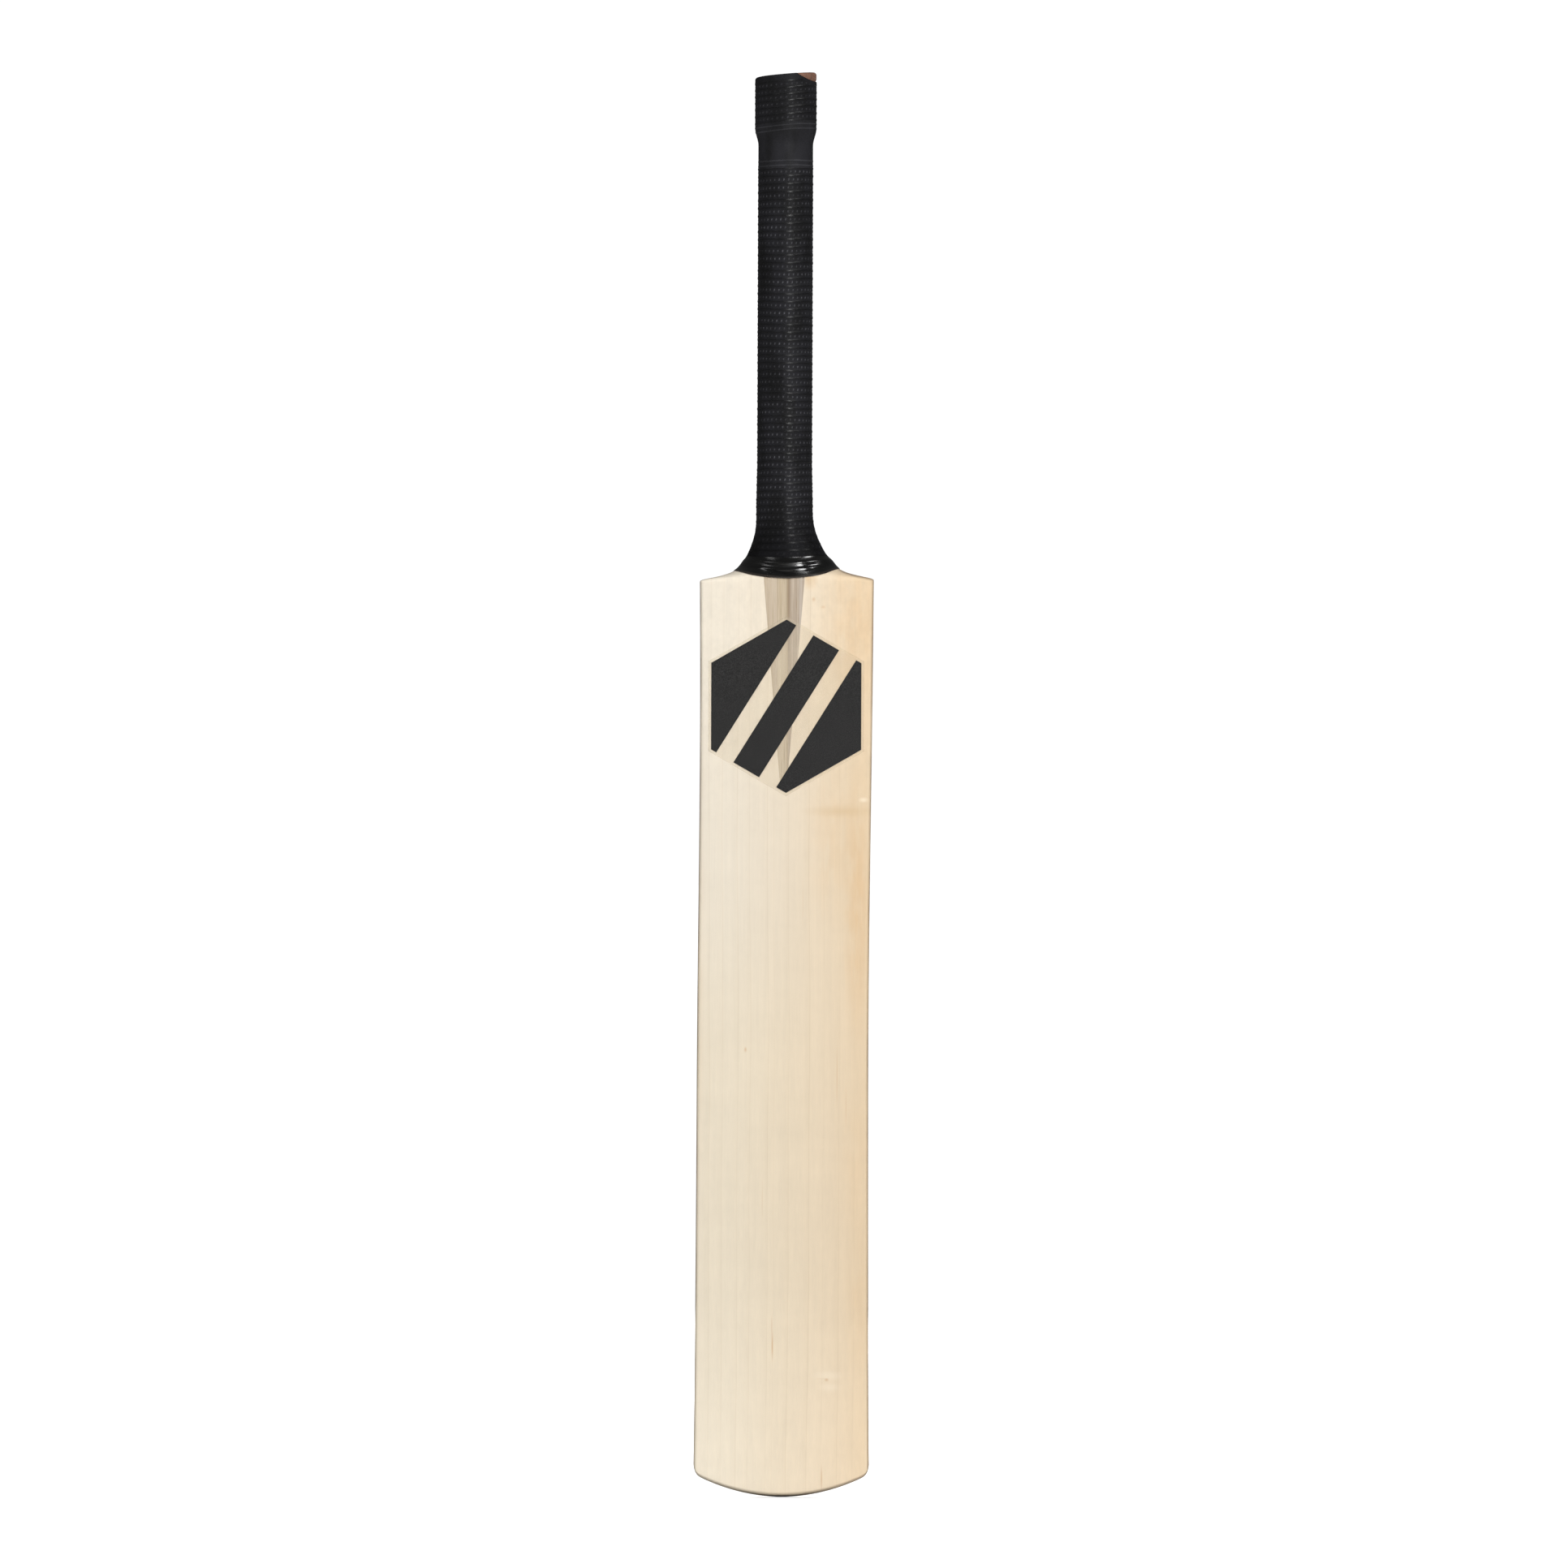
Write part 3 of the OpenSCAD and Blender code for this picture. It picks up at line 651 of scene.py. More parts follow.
WILLOW = willow()
CANES = [
    cane("cane_far_left", srgb(195, 180, 159), srgb(179, 161, 137), 0),
    cane("cane_left", srgb(197, 182, 158), srgb(182, 165, 139), -1),
    cane("cane_right", srgb(187, 173, 155), srgb(168, 152, 134), 1),
    cane("cane_far_right", srgb(186, 174, 160), srgb(169, 153, 137), 0),
]
LAYER_RUBBER = layer_rubber()
GRIP_RUBBER = grip_rubber()
TAPE, VINYL, FILM, TWINE = tape(), vinyl(), film(), twine()


# ---------------------------------------------------------------- the willow blade
def splice_half(z):
    """Half width of the splice at height z."""
    h = z - SHOULDER_Z
    if h < 0:
        return mix(SPLICE_W, SPLICE_TIP_W, -h / SPLICE_L) / 2
    return mix(SPLICE_W / 2, CONE_R, max(0, h - EAR_STRAIGHT) / (EAR_TOP - EAR_STRAIGHT))


def splice_wedge():
    heights = [SPLICE_Z, SHOULDER_Z, SHOULDER_Z + EAR_STRAIGHT, SHOULDER_Z + EAR_TOP + 2]
    rings = []
    for z in heights:
        x = splice_half(z)
        rings.append(np.array([(-x, -90, z), (x, -90, z), (x, 90, z), (-x, 90, z)]))
    faces = band_faces(len(rings), 4) + [[3, 2, 1, 0], [12, 13, 14, 15]]
    wedge = mesh_object("splice_wedge", np.concatenate(rings), faces)
    outward(wedge)
    return wedge


def blade():
    rings = []
    for a in np.linspace(0, 90, 7):
        turn = math.radians(a)
        rings.append(skin_ring(TOE_ROUND * (1 - math.cos(turn)), TOE_ROUND * (1 - math.sin(turn))))
    spans = [(TOE_ROUND, TOE_FADE, 26), (TOE_FADE, SHOULDER_Z - 8, 62)]
    spans += [(SHOULDER_Z - 8, SHOULDER_Z, 14), (SHOULDER_Z, SHOULDER_Z + 8, 18)]
    spans += [(SHOULDER_Z + 8, SHOULDER_Z + EAR_TOP, 18)]
    for low, top, count in spans:
        rings += [skin_ring(z) for z in np.linspace(low, top, count + 1)[1:]]
    obj = solid("willow_blade", rings)
    cut_away(obj, splice_wedge())
    outward(obj)
    smooth_shade(obj)
    mark_edges(obj)
    finish_piece(obj, WILLOW, "willow", "blade")
    return obj


def outline():
    """The right half of the blade's outline seen from the face, without the lean: x and z of its points."""
    x = np.linspace(0, TOE_W / 2, 120)
    heights = np.concatenate([np.arange(CORNER_Z, SHOULDER_Z - 3), np.arange(-3, 12, 0.15) + SHOULDER_Z])
    sides = np.array([(half_width(z), z) for z in heights])
    return np.concatenate([np.stack([x, toe_rise(x)], 1), sides])


def mark_edges(obj):
    """Stores how near each point of the blade's front lies to its outline, as the mask of the painted edge
    shade.
    """
    points = np.array([v.co[:] for v in obj.data.vertices]) / MM
    flat = np.stack([np.abs(points[:, 0] - lean(points[:, 2])), points[:, 2]], 1)
    line = outline()
    near = [np.sqrt(((line - p) ** 2).sum(1).min()) for p in flat]
    depth = points[:, 1] - np.array([face_y(z) for z in points[:, 2]])
    reach = np.where(points[:, 2] > SHOULDER_Z - 1, NECK_EDGE_DEPTH, EDGE_DEPTH)
    values = np.maximum(0, 1 - np.array(near) / EDGE_WIDTH) ** 1.3 * np.maximum(0, 1 - depth / reach)
    obj.data.attributes.new("edge", "FLOAT", "POINT").data.foreach_set("value", values)


blade()


# ---------------------------------------------------------------- the laminated handle
def section_line(z):
    """Front and back heights of the skin's section, as tables over x."""
    x, y = skin_half(z, PLACES)
    turn = SIDE_MIDDLE * FINE
    return (x[: turn + 1], y[: turn + 1]), (x[turn:][::-1], y[turn:][::-1])


def shaft_radius(z):
    low = SHOULDER_Z + EAR_TOP
    stops = (low, SHOULDER_Z + SWEEP_TOP, KNOB_Z - KNOB_CONE_L, KNOB_Z)
    return float(np.interp(z, stops, (CONE_R, SHAFT_R, SHAFT_R, KNOB_R)))


ACROSS = np.linspace(-1, 1, 33)
SIDE_STEPS = (0.25, 0.5, 0.75)


def handle_ring(z, radius=None):
    """A ring of the whole handle: the splice below, a circle above, a blend in the neck."""
    round_share = float(smooth((z - SHOULDER_Z - EAR_STRAIGHT) / (EAR_TOP - EAR_STRAIGHT)))
    r = radius or shaft_radius(z)
    circle_x = r * np.sin(np.radians(89.6 * ACROSS))
    circle_y = np.sqrt(r * r - circle_x**2)
    if z < SHOULDER_Z + EAR_TOP:
        x = splice_half(z) * ACROSS
        x = mix(x, splice_half(z) * np.sin(np.radians(89 * ACROSS)), round_share)
        front, back = section_line(z)
        y0 = np.interp(np.abs(x - lean(z)), *front)
        y1 = np.interp(np.abs(x - lean(z)), *back)
    else:
        x, y0, y1 = circle_x, -circle_y, circle_y
    side = [(x[-1], mix(y0[-1], y1[-1], t), z) for t in SIDE_STEPS]
    far_side = [(x[0], mix(y1[0], y0[0], t), z) for t in SIDE_STEPS]
    front = [(a, b, z) for a, b in zip(x, y0)]
    back = [(a, b, z) for a, b in zip(x[::-1], y1[::-1])]
    return np.array(front + side + back + far_side)


def slope_end(ring, share):
    """Leans a ring towards the slope of the cut end and spreads it over the rim's low side."""
    ring = ring.copy()
    ring[:, 2] -= (KNOB_R - KNOB_LIP - ring[:, 0]) * END_SLOPE * share
    phi = np.arctan2(ring[:, 0], -ring[:, 1])
    above_rim = ring[:, 2] - SHOULDER_Z - rim_height(phi, BUTT_R)
    spread = smooth((above_rim - 0.2) / 1.2) * smooth((ring[:, 0] - RIM_TURN_X) / 4)
    ring[:, :2] *= (1 + spread * END_SPREAD / KNOB_R)[:, None]
    return ring


def handle_solid():
    rings = [handle_ring(z) for z in np.linspace(SPLICE_Z, SHOULDER_Z + EAR_TOP - 0.01, 46)]
    rings += [handle_ring(z) for z in (SHOULDER_Z + EAR_TOP + 0.01, SHOULDER_Z + 54)]
    rings += [handle_ring(z) for z in np.linspace(SHOULDER_Z + SWEEP_TOP, KNOB_Z - KNOB_CONE_L, 7)]
    rings += [handle_ring(KNOB_Z - 4.5)]
    top = KNOB_Z + KNOB_L
    for z in [*np.linspace(KNOB_Z, top - 9, 4), *np.linspace(top - 8, top - END_ROUND, 10)]:
        rings.append(slope_end(handle_ring(z), (z - KNOB_Z) / KNOB_L))
    for a in np.linspace(15, 90, 6):
        drop = END_ROUND * (1 - math.sin(math.radians(a)))
        r = KNOB_R - END_ROUND * (1 - math.cos(math.radians(a)))
        rings.append(slope_end(handle_ring(top - drop, r), 1 - drop / KNOB_L))
    n = len(rings[0])
    count = len(rings)
    points = np.concatenate(rings + [rings[0].mean(0)[None], rings[-1].mean(0)[None]])
    low, high = count * n, count * n + 1
    last = (count - 1) * n
    faces = band_faces(count, n)
    faces += [[(i + 1) % n, i, low] for i in range(n)]
    faces += [[last + i, last + (i + 1) % n, high] for i in range(n)]
    obj = mesh_object("handle_solid", points, faces)
    outward(obj)
    return obj


def handle_pieces():
    whole = handle_solid()
    pitch = SLAB_T + RUBBER_T
    columns = [None, SEAM_X - CANE_W, SEAM_X, SEAM_X + CANE_W, None]
    names = ("far_left", "left", "right", "far_right")
    slabs = ("front", "inner_front", "inner_back", "back")
    cells = []
    for s, slab in enumerate(slabs):
        y0 = None if s == 0 else (s - 1.5) * pitch - SLAB_T / 2
        y1 = None if s == 3 else (s - 1.5) * pitch + SLAB_T / 2
        for c, name in enumerate(names):
            node = f"cane_{slab}_{name}"
            cells.append((node, CANES[c], "cane", columns[c], columns[c + 1], y0, y1))
    for k, name in zip((-1, 0, 1), ("front", "middle", "back")):
        y = k * pitch
        span = (None, None, y - RUBBER_T / 2, y + RUBBER_T / 2)
        cells.append((f"rubber_layer_{name}", LAYER_RUBBER, "layer_rubber", *span))
    for node, material, slot, x0, x1, y0, y1 in cells:
        bm = bmesh.new()
        bm.from_mesh(whole.data)
        for value, point, normal in (
            (x0, (x0, 0, 0), (-1, 0, 0)), (x1, (x1, 0, 0), (1, 0, 0)),
            (y0, (0, y0, 0), (0, -1, 0)), (y1, (0, y1, 0), (0, 1, 0)),
        ):
            if value is not None:
                keep_side(bm, point, normal)
        bmesh.ops.recalc_face_normals(bm, faces=bm.faces)
        mesh = bpy.data.meshes.new(node + "_piece")
        bm.to_mesh(mesh)
        bm.free()
        obj = bpy.data.objects.new(node + "_piece", mesh)
        bpy.context.scene.collection.objects.link(obj)
        smooth_shade(obj)
        finish_piece(obj, material, slot, node)
    bpy.data.objects.remove(whole)


handle_pieces()


# ---------------------------------------------------------------- the wound twine
def twine_binding():
    """One cord wound round the shaft, as a tube along a helix."""
    low, high, r = SHOULDER_Z + EAR_TOP + 0.5, KNOB_Z - KNOB_CONE_L - 0.5, TWINE_T / 2
    per_turn, sides = 20, 6
    turns = (high - low) / TWINE_T
    angle = np.linspace(0, turns * 2 * math.pi, int(turns * per_turn))
    z = low + angle / (2 * math.pi) * TWINE_T
    at = np.interp(z, (low, SHOULDER_Z + SWEEP_TOP), (CONE_R, SHAFT_R)) + r
    around = np.linspace(0, 2 * math.pi, sides, endpoint=False)
    out = at[:, None] + 0.97 * r * np.cos(around)
    points = np.stack([out * np.cos(angle)[:, None], out * np.sin(angle)[:, None],
                       z[:, None] + 0.97 * r * np.sin(around)], 2)
    count = len(angle)
    faces = band_faces(count, sides) + [list(range(sides)), [(count - 1) * sides + i for i in range(sides)]]
    obj = mesh_object("wound_twine", points.reshape(-1, 3), faces)
    outward(obj)
    smooth_shade(obj)
    finish_piece(obj, TWINE, "twine", "twine_binding")


twine_binding()


# ---------------------------------------------------------------- the rubber grip
# The skin of the neck as tables over height and turn, so that a ring may rise and fall as it goes round.
NECK_STEP = 0.25
NECK_H = np.arange(0, FLARE_TOP + 4, NECK_STEP)
NECK = np.array([skin_half(SHOULDER_Z + h, PLACES) for h in NECK_H])
NECK_W = np.array([(half_width(SHOULDER_Z + h), neck_y(h)) for h in NECK_H])
EDGE_OUT = skin_half(SHOULDER_Z + EDGE_LEVEL, PLACES)[0] / half_width(SHOULDER_Z + EDGE_LEVEL)


def neck_skin(h, turn):
    """x and y on the neck's skin at heights h and turns of 0 at the front to 180 at the back."""
    row = np.clip(h / NECK_STEP, 0, len(NECK_H) - 1.001)
    column = np.clip(turn / 180 * (len(PLACES) - 1), 0, len(PLACES) - 1.001)
    r, c = row.astype(int), column.astype(int)
    s, t = row - r, column - c

    def point(i, j):
        return NECK[i, :, j].T

    low = mix(point(r, c), point(r, c + 1), t)
    high = mix(point(r + 1, c), point(r + 1, c + 1), t)
    return mix(low, high, s)


def neck_ring(phi, h, grow, top_r):
    """Points round the neck, standing off its skin by grow; the ring turns into a circle of top_r."""
    turn = np.degrees(phi) % 360
    side = np.where(turn > 180, -1, 1)
    x, y = neck_skin(h, np.where(turn > 180, 360 - turn, turn))
    wide = np.interp(h, NECK_H, NECK_W[:, 0])
    deep = np.interp(h, NECK_H, NECK_W[:, 1])
    k = smooth((h - ROUND_FROM) / (FLARE_TOP - ROUND_FROM))
    x = mix(side * x * (1 + grow / wide), top_r * np.sin(phi), k) + lean(SHOULDER_Z + h)
    y = mix(y * (1 + grow / deep), -top_r * np.cos(phi), k)
    return tilted(np.stack([x, y, SHOULDER_Z + h], 1))


DOTS, PER_DOT = 36, 5
AROUND = DOTS * PER_DOT
PHI = np.arange(AROUND) * 2 * math.pi / AROUND
NO_DOTS = np.zeros(AROUND)
RELIEF, FLARE_SHARE = 0.38, 0.6     # the ribs' height, level with the CAD grip, and its share on the flare
RIB_RISE, DOT_RISE = 0.6, 0.65      # as shares of the relief
ROW_STEPS = ((0.06, 1.0, 0), (0.17, 0.35, 0), (0.32, 0, 0), (0.43, 0, 1),
             (0.57, 0, 1), (0.68, 0, 0), (0.83, 0.35, 0), (0.94, 1.0, 0))   # place, rib, dot
SHAFT_ROWS, FIRST_ROW, LAST_ROW = 51, 60.9, 292.5    # rows of dots, as distances below the bat's top
BUTT_ROWS, FIRST_BUTT_ROW, BUTT_PITCH = 6, 6.3, 4.36
RING_LINES, LINE_RIB = (32.6, 35.4, 54.1, 57.0), 0.75
LINE_TONE, BAND_TONE, BAND_SLIM = 0.3, 0.06, 0.05    # the plain band is a little greyer and slimmer
RIM_REACH, RIM_PLAIN = 24, FIRST_BUTT_ROW - BUTT_PITCH / 2     # rows tilt with the rim, under its plain edge
RIM_KEEP, RIM_PRESS = 2.4, 0.5      # the least plain edge, and how softly it presses the rows down


def grip_radius(h):
    """Outer radius of the tube over its ribs."""
    bulge = smooth((h - (GRIP_TOP - 44.5)) / 10.5)
    slim = BAND_SLIM * smooth((h - (GRIP_TOP - 58)) / 3) * (1 - bulge)
    below = np.interp(h, (FLARE_TOP, FLARE_TOP + 24), (TUBE_TOP_R, GRIP_R))
    return mix(below, BUTT_R, bulge) - slim


def row_wave(h, phi):
    """How far a row strays from level as it goes round."""
    tilt = 0.25 * np.sin(h / 31) + 1.3 * smooth((h - (GRIP_TOP - 45)) / 8)
    fade = smooth((h - 8) / 16)
    return fade * (tilt * np.sin(phi) + 0.16 * np.sin(2 * phi + h / 37) + 0.10 * np.sin(3 * phi - h / 23))


def edge_lift(h, phi):
    """The grip's lower edge and the rings near it rise at the sides."""
    turn = np.degrees(phi) % 360
    out = np.interp(np.where(turn > 180, 360 - turn, turn) / 180 * HALF_END, PLACES, EDGE_OUT)
    rise = EDGE_RISE * (1 + EDGE_RIGHT * np.maximum(0, np.sin(phi)))
    return rise * np.maximum(0, out) ** EDGE_POWER * np.maximum(0, 1 - h / 18) ** 1.5


def rim_line(phi):
    """The line the rim would follow if it didn't fall on the right."""
    return GRIP_TOP - (KNOB_R - KNOB_LIP - BUTT_R * np.sin(phi)) * END_SLOPE


def below_rim(level, phi):
    """A level pressed softly down to stay under the rim's plain edge, and the room left between them."""
    limit = rim_height(phi, BUTT_R) - RIM_KEEP
    room = RIM_PRESS * np.log1p(np.exp((limit - level) / RIM_PRESS))
    return limit - room, room


def flare_grow(h):
    """How far the grip stands off the neck, thinner towards its lower edge."""
    return EDGE_GROW + (FLARE_GROW - EDGE_GROW) * float(smooth(h / 10))


def grip_ring(h, rib, dots=NO_DOTS, shift=0.0):
    """A ring of the grip at height h with ribs and dots standing 0 to 1 high."""
    phi = PHI + shift
    level = h + row_wave(h, phi) + edge_lift(h - EDGE_LOW, phi)
    near_rim = smooth((h - (GRIP_TOP - RIM_REACH)) / (RIM_REACH - RIM_PLAIN))
    level = mix(level, rim_line(phi) - (GRIP_TOP - h), near_rim)
    level, room = below_rim(level, phi)
    flat = (0.35 + 0.65 * smooth((h - 14) / 26)) * smooth(room / 1.2)
    uneven = 1 + 0.25 * np.sin(5 * phi + h) * np.sin(h / 5.3)
    height = rib * uneven * RIB_RISE + dots * DOT_RISE
    stand = RELIEF * (flat * height - 1)
    if h < FLARE_TOP + 2:
        return neck_ring(phi, level, flare_grow(h) + stand * FLARE_SHARE, TUBE_TOP_R + stand)
    r = grip_radius(level) + stand
    return np.stack([r * np.sin(phi), -r * np.cos(phi), SHOULDER_Z + level], 1)


def row_rings(heights):
    """Rings for rows of dots, with a rib at the bottom of each row: (points, rib, dots) of each."""
    rings = []
    for low, high in zip(heights[:-1], heights[1:]):
        shift = rng.uniform(-0.5, 0.5) * 2 * math.pi / AROUND
        column = int(rng.integers(PER_DOT))
        dots = (np.arange(AROUND) % PER_DOT == column) * rng.uniform(0.75, 1.0, AROUND)
        # Painted light: the dots are lighter where the grip faces the front (the cos term), and vary
        # unevenly round it (the sine term)
        wear_and_front_light = (0.75 + 0.25 * np.sin(PHI * 3 + low)) * (0.6 + 0.4 * np.abs(np.cos(PHI)))
        above_flare = 0.2 + 0.8 * smooth((low - 10) / 34)
        below_butt = 1 - 0.35 * smooth((low - (GRIP_TOP - 45)) / 5)
        for place, rib, dot in ROW_STEPS:
            wanted = dots * wear_and_front_light * above_flare * below_butt * dot
            ring = grip_ring(mix(low, high, place), rib, wanted, shift * dot)
            rings.append((ring, rib, wanted))
    return rings


def rim_rings():
    """The plain rim over the last row, its rounded or chamfered edge, and the rim's inside."""
    left = np.maximum(0, -np.sin(PHI)) ** 5
    corner, reach = 0.45 + 1.2 * left, 0.5 + 1.5 * left
    top = rim_height(PHI, BUTT_R)
    base = below_rim(rim_line(PHI) - RIM_PLAIN, PHI)[0]

    def ring(r, h):
        return np.stack([r * np.sin(PHI), -r * np.cos(PHI), SHOULDER_Z + h], 1)

    wall = BUTT_R - 0.3
    rings = [ring(wall + 0.1, mix(base, top - corner, 0.15))]
    rings += [ring(wall, mix(base, top - corner, t)) for t in (0.4, 0.7, 1.0)]
    for a in (30, 60, 90):
        turn = math.radians(a)
        rings.append(ring(wall - reach * (1 - math.cos(turn)), top - corner * (1 - math.sin(turn))))
    rings.append(ring(np.minimum(wall - reach - 0.15, KNOB_R + 0.03), top))
    rings.append(ring(KNOB_R + 0.03, top - END_ROUND))
    return rings


def inner_rings():
    """The bore of the grip from the knob down to its lower edge."""
    rings = []

    def ring(r, h):
        return np.stack([r * np.sin(PHI), -r * np.cos(PHI), np.full(AROUND, SHOULDER_Z + h)], 1)

    knob, tube = KNOB_R + 0.03, SHAFT_R + TWINE_T + SLEEVE_GAP
    low_tube = CONE_R + TWINE_T + SLEEVE_GAP
    for h in (GRIP_TOP - 12, GRIP_TOP - KNOB_L):
        rings.append(ring(knob, h))
    for h in np.linspace(GRIP_TOP - KNOB_L - KNOB_CONE_L, SWEEP_TOP, 8):
        rings.append(ring(tube, h))
    rings.append(ring(low_tube, FLARE_TOP + 1))
    for h in np.linspace(FLARE_TOP - 2, 2, 12):
        rings.append(neck_ring(PHI, h + edge_lift(h - EDGE_LOW, PHI), SLEEVE_GAP, low_tube))
    rings.append(neck_ring(PHI, EDGE_LOW + edge_lift(0, PHI), SLEEVE_GAP, low_tube))
    return rings


def plain_band(start, end):
    """Rings of the smooth band between the rows, with two pairs of thin ring lines: (points, rib, dots)."""
    plan = [(start, 1.0), (start + 0.5, 0.3), (end - 0.5, 0.3)]
    for place in RING_LINES:
        h = GRIP_TOP - place
        for off, rib in ((0.85, 0.1), (0.5, 0.25), (0.18, LINE_RIB)):
            plan += [(h - off, rib), (h + off, rib)]
    plan += [(h, 0.15) for h in np.linspace(GRIP_TOP - 52.5, GRIP_TOP - 37.5, 14)]
    rings = []
    for h, rib in sorted(plan):
        tone = LINE_TONE if rib == LINE_RIB else BAND_TONE
        rings.append((grip_ring(h, rib), 0.0, NO_DOTS + tone))
    return rings


def grip():
    t = (np.arange(SHAFT_ROWS + 1) - 0.5) / (SHAFT_ROWS - 1)
    below_top = FIRST_ROW + (LAST_ROW - FIRST_ROW) * (t + 0.04 * t * (1 - t))
    heights = (GRIP_TOP - below_top)[::-1]
    butt_low = GRIP_TOP - FIRST_BUTT_ROW - (BUTT_ROWS - 0.5) * BUTT_PITCH
    butt = butt_low + BUTT_PITCH * np.arange(BUTT_ROWS + 1)
    rings = [(grip_ring(h, 0.4), 0.0, NO_DOTS) for h in np.linspace(EDGE_LOW, heights[0] - 1.2, 7)]
    rings += row_rings(heights)
    rings += plain_band(heights[-1], butt_low)
    rings += row_rings(butt)
    rings.append((grip_ring(butt[-1], 1.0), 1.0, NO_DOTS))
    rings += [(ring, 0.2, NO_DOTS) for ring in rim_rings() + inner_rings()]
    n, count = AROUND, len(rings)
    faces = band_faces(count, n)
    last = (count - 1) * n
    faces += [[last + i, last + (i + 1) % n, (i + 1) % n, i] for i in range(n)]
    obj = mesh_object("ribbed_grip", np.concatenate([ring[0] for ring in rings]), faces)
    for name, values in (("rib", np.repeat([ring[1] for ring in rings], n)),
                         ("dot", np.concatenate([ring[2] for ring in rings]))):
        obj.data.attributes.new(name, "FLOAT", "POINT").data.foreach_set("value", values)
    outward(obj)
    smooth_shade(obj, 60)
    finish_piece(obj, GRIP_RUBBER, "grip_rubber", "grip")


grip()


# ---------------------------------------------------------------- the glossy collar tape
COLLAR_RIDGES = ((3.4, 0.8, 0.16), (5.4, 1.2, 0.5), (7.4, 0.7, 0.3), (9.2, 1.2, 0.5), (11.6, 0.7, 0.16))
REFLECTION_BAND, TAPER = 1.1, 3.5               # the width of the painted reflection of the wood along the lower edge, and the taper to the upper edge
TAPE_GAP, TAPE_SINK, TAPE_BACK = 0.03, 0.17, 0.22   # off the flare, and into it at the upper edge and inside


def collar_tape():
    """A stretched band over the flare with ridges that run round it, fading at its sides."""
    around, levels = 240, 44
    phi = np.arange(around) * 2 * math.pi / around
    low, high = EDGE_LOW - 0.05, COLLAR_H + EDGE_LOW
    outer, inner, painted_reflection = [], [], []
    for h in np.linspace(low, high, levels):
        wander = 0.5 * np.sin(2 * phi + 0.7) + 0.35 * np.sin(3 * phi + 2.1) + 3.2 * np.sin(phi) ** 2
        relief = np.zeros(around)
        for k, (place, wide, height) in enumerate(COLLAR_RIDGES):
            off = (h - place - wander * 0.5 * smooth((h - 1) / 3)) / wide
            strength = 0.65 + 0.35 * np.sin(phi * 2 + k * 2.3)
            relief += height * strength * np.exp(-off * off) * np.abs(np.cos(phi)) ** 0.8
        start, end = min(1, (h - low) / 0.5), float(smooth((high - h) / TAPER))
        level = h + edge_lift(h - EDGE_LOW, phi)
        stand = TAPE_GAP + COLLAR_T * 0.6 * max(0.3, start) ** 0.5
        grow = flare_grow(h) + mix(-TAPE_SINK, stand, end) + relief * start * end
        outer.append(neck_ring(phi, level, grow, TUBE_TOP_R))
        painted_reflection.append(1 - smooth((h - low - REFLECTION_BAND * 0.5) / REFLECTION_BAND))
    for h in np.linspace(high, low, 8):
        level = h + edge_lift(h - EDGE_LOW, phi)
        inner.append(neck_ring(phi, level, flare_grow(h) - TAPE_BACK, TUBE_TOP_R))
        painted_reflection.append(0)
    rings = outer + inner
    count = len(rings)
    faces = band_faces(count, around)
    last = (count - 1) * around
    faces += [[last + i, last + (i + 1) % around, (i + 1) % around, i] for i in range(around)]
    obj = mesh_object("glossy_collar", np.concatenate(rings), faces)
    obj.data.attributes.new("painted_reflection", "FLOAT", "POINT").data.foreach_set("value", np.repeat(painted_reflection, around))
    outward(obj)
    smooth_shade(obj, 50)
    finish_piece(obj, TAPE, "tape", "collar_tape")


collar_tape()


# ---------------------------------------------------------------- the face mark
def face_mark():
    """The mark's thin layers are right as they are, and only get their materials."""
    for part, material in (("film", FILM), ("left", VINYL), ("middle", VINYL), ("right", VINYL)):
        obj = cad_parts["mark_" + part]
        obj.data.materials.clear()
        obj.data.materials.append(material)


face_mark()


# ---------------------------------------------------------------- stage, lights and camera
def stage_floor():
    bpy.ops.mesh.primitive_plane_add(size=120, location=(0, 0, 0))
    floor = bpy.context.object
    floor.name = "floor"
    n = Nodes("pale_floor")
    path = n.tree.nodes.new("ShaderNodeLightPath").outputs["Is Camera Ray"]
    cloud = n.noise(n.place, 0.6, 2)
    n.put(n.skin.inputs["Emission Color"], (1, 1, 1, 1))
    x, y, z = n.split(n.place)
    far = n.math("SQRT", n.add(n.times(x, x), n.times(y, y)))
    n.put(n.skin.inputs["Emission Strength"], n.times(path, n.ramp(far, 0.3, 1.4, 0.68, 1.05)))
    pale = n.blend(cloud, (0.86, 0.86, 0.85, 1), (0.9, 0.9, 0.9, 1))
    floor.data.materials.append(n.finish(n.blend(path, (0.35, 0.34, 0.33, 1), pale), 0.8))


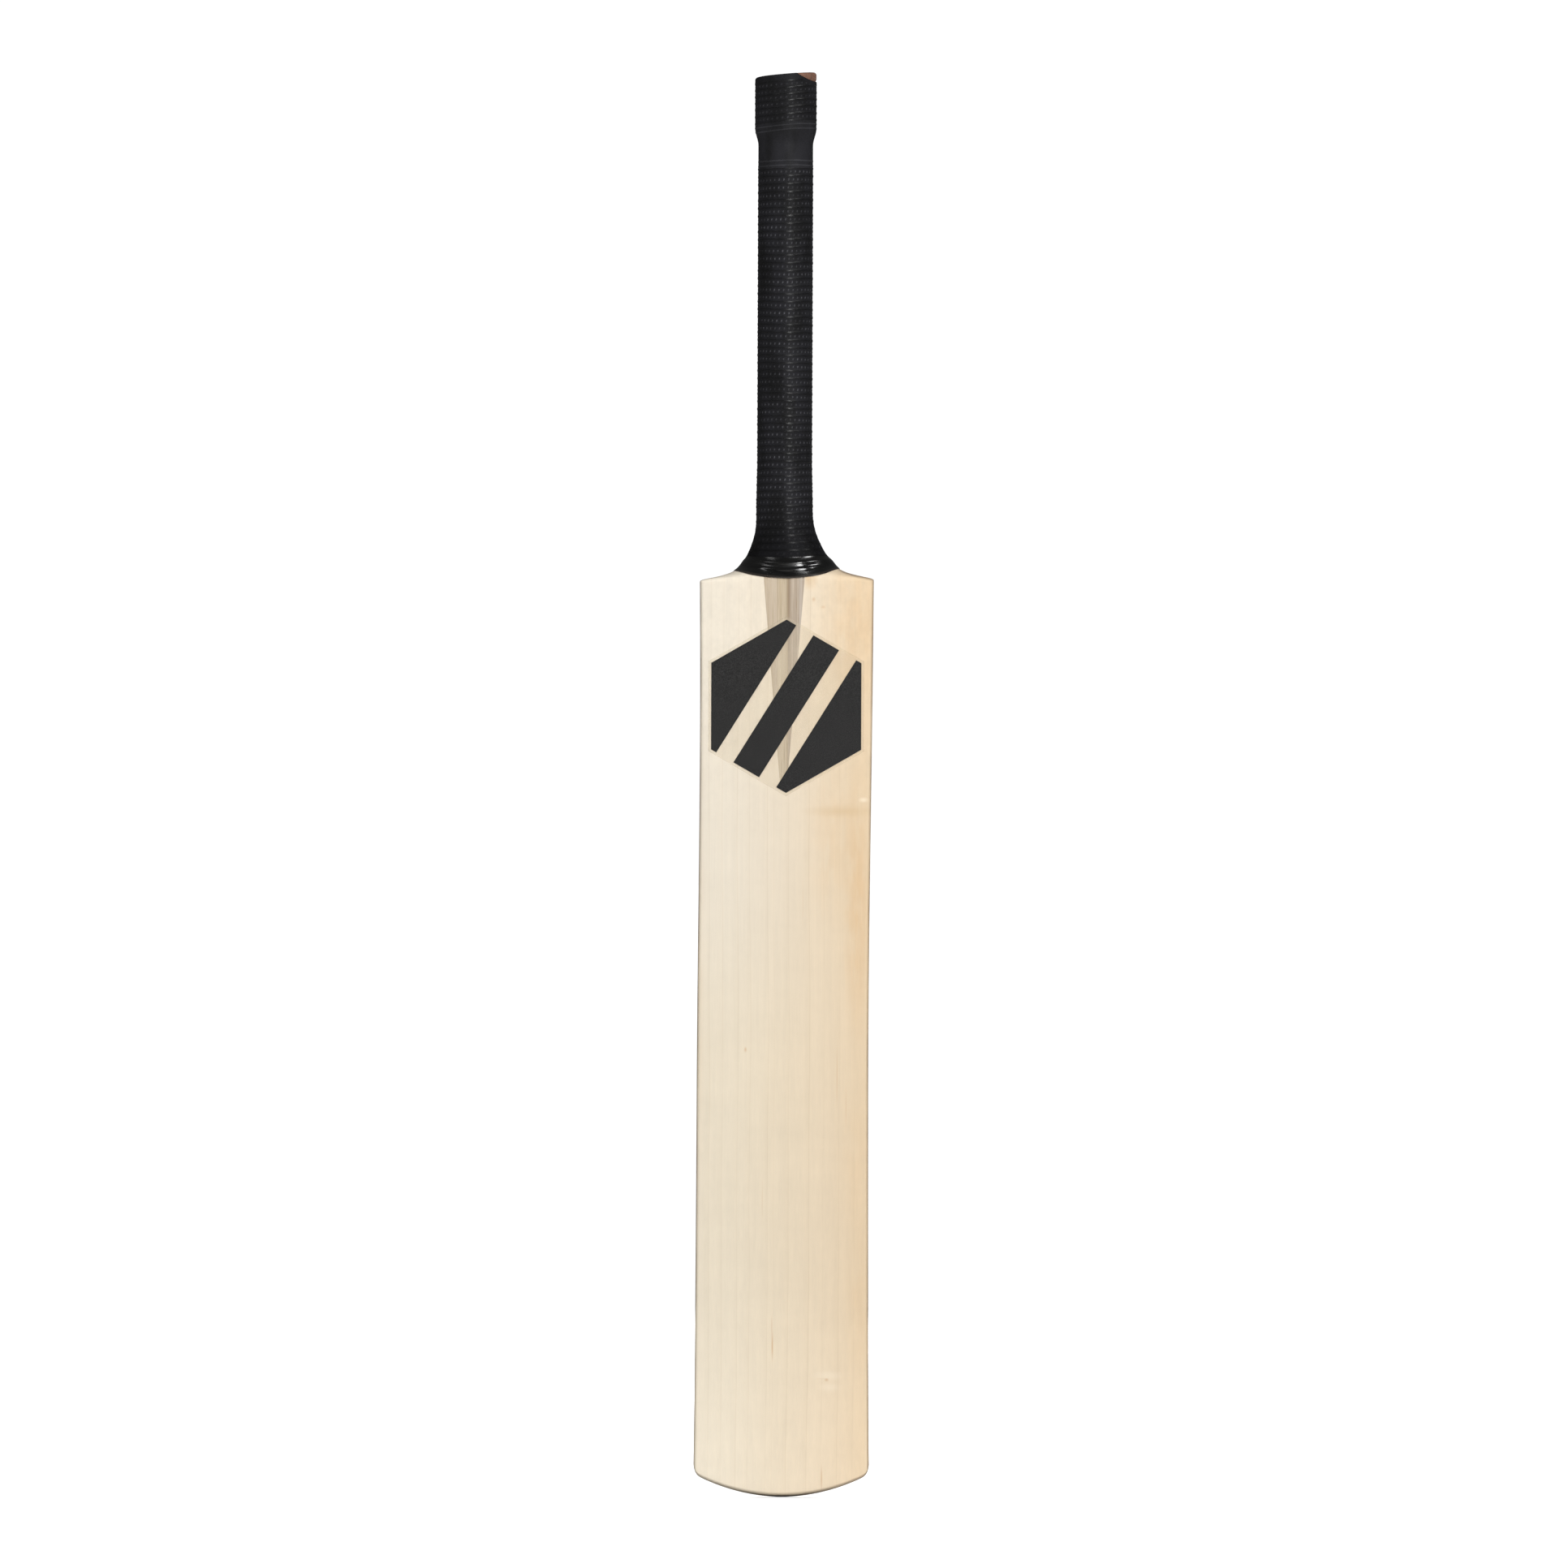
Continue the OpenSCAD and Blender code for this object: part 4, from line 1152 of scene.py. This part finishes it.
def soft_light(name, place, target, wide, tall, power, matt=False):
    """An area light; a matt one lights surfaces but isn't mirrored in them."""
    lamp = bpy.data.lights.new(name, "AREA")
    lamp.shape, lamp.size, lamp.size_y, lamp.energy = "RECTANGLE", wide, tall, power
    obj = bpy.data.objects.new(name, lamp)
    obj.location = place
    obj.rotation_euler = (Vector(target) - Vector(place)).to_track_quat("-Z", "Y").to_euler()
    obj.visible_glossy = not matt
    bpy.context.scene.collection.objects.link(obj)


def lights():
    middle = (0, 0, 0.45)

    def at(azimuth, distance, height):
        a = math.radians(azimuth)
        return (distance * math.sin(a), -distance * math.cos(a), height)

    soft_light("key_right", at(20, 3.2, 0.75), middle, 0.45, 2.4, 42)
    soft_light("box_right", at(52, 2.6, 2.35), middle, 0.9, 0.9, 28)
    soft_light("box_left", at(-38, 2.6, 2.3), middle, 0.7, 0.7, 4)
    soft_light("top_front", (0.3, -2.8, 2.1), middle, 2.0, 1.2, 54, matt=True)
    soft_light("fill_left", at(-65, 3.0, 0.8), middle, 2.2, 2.4, 29, matt=True)
    soft_light("rear", (0.6, 3.0, 1.4), middle, 2.5, 2.0, 110, matt=True)
    world = bpy.data.worlds.new("studio")
    world.use_nodes = True
    tree = world.node_tree
    path = tree.nodes.new("ShaderNodeLightPath").outputs["Is Camera Ray"]
    scale = tree.nodes.new("ShaderNodeMapRange")
    tree.links.new(path, scale.inputs["Value"])
    scale.inputs["To Min"].default_value = 0.08
    scale.inputs["To Max"].default_value = 1.05
    tree.links.new(scale.outputs[0], tree.nodes["Background"].inputs["Strength"])
    tree.nodes["Background"].inputs["Color"].default_value = (1, 1, 1, 1)
    bpy.context.scene.world = world


def camera():
    distance, view_height, across = 10.0, 0.952, 36.0
    lens = bpy.data.cameras.new("camera")
    lens.sensor_width, lens.lens, lens.clip_end = across, across * distance / view_height, 200
    obj = bpy.data.objects.new("camera", lens)
    obj.location = (0.0003, -distance, 0.432)
    obj.rotation_euler = (math.radians(90), math.radians(-0.2), 0)
    bpy.context.scene.collection.objects.link(obj)
    bpy.context.scene.camera = obj


stage_floor()
lights()
camera()
bpy.context.scene.view_settings.view_transform = "Standard"
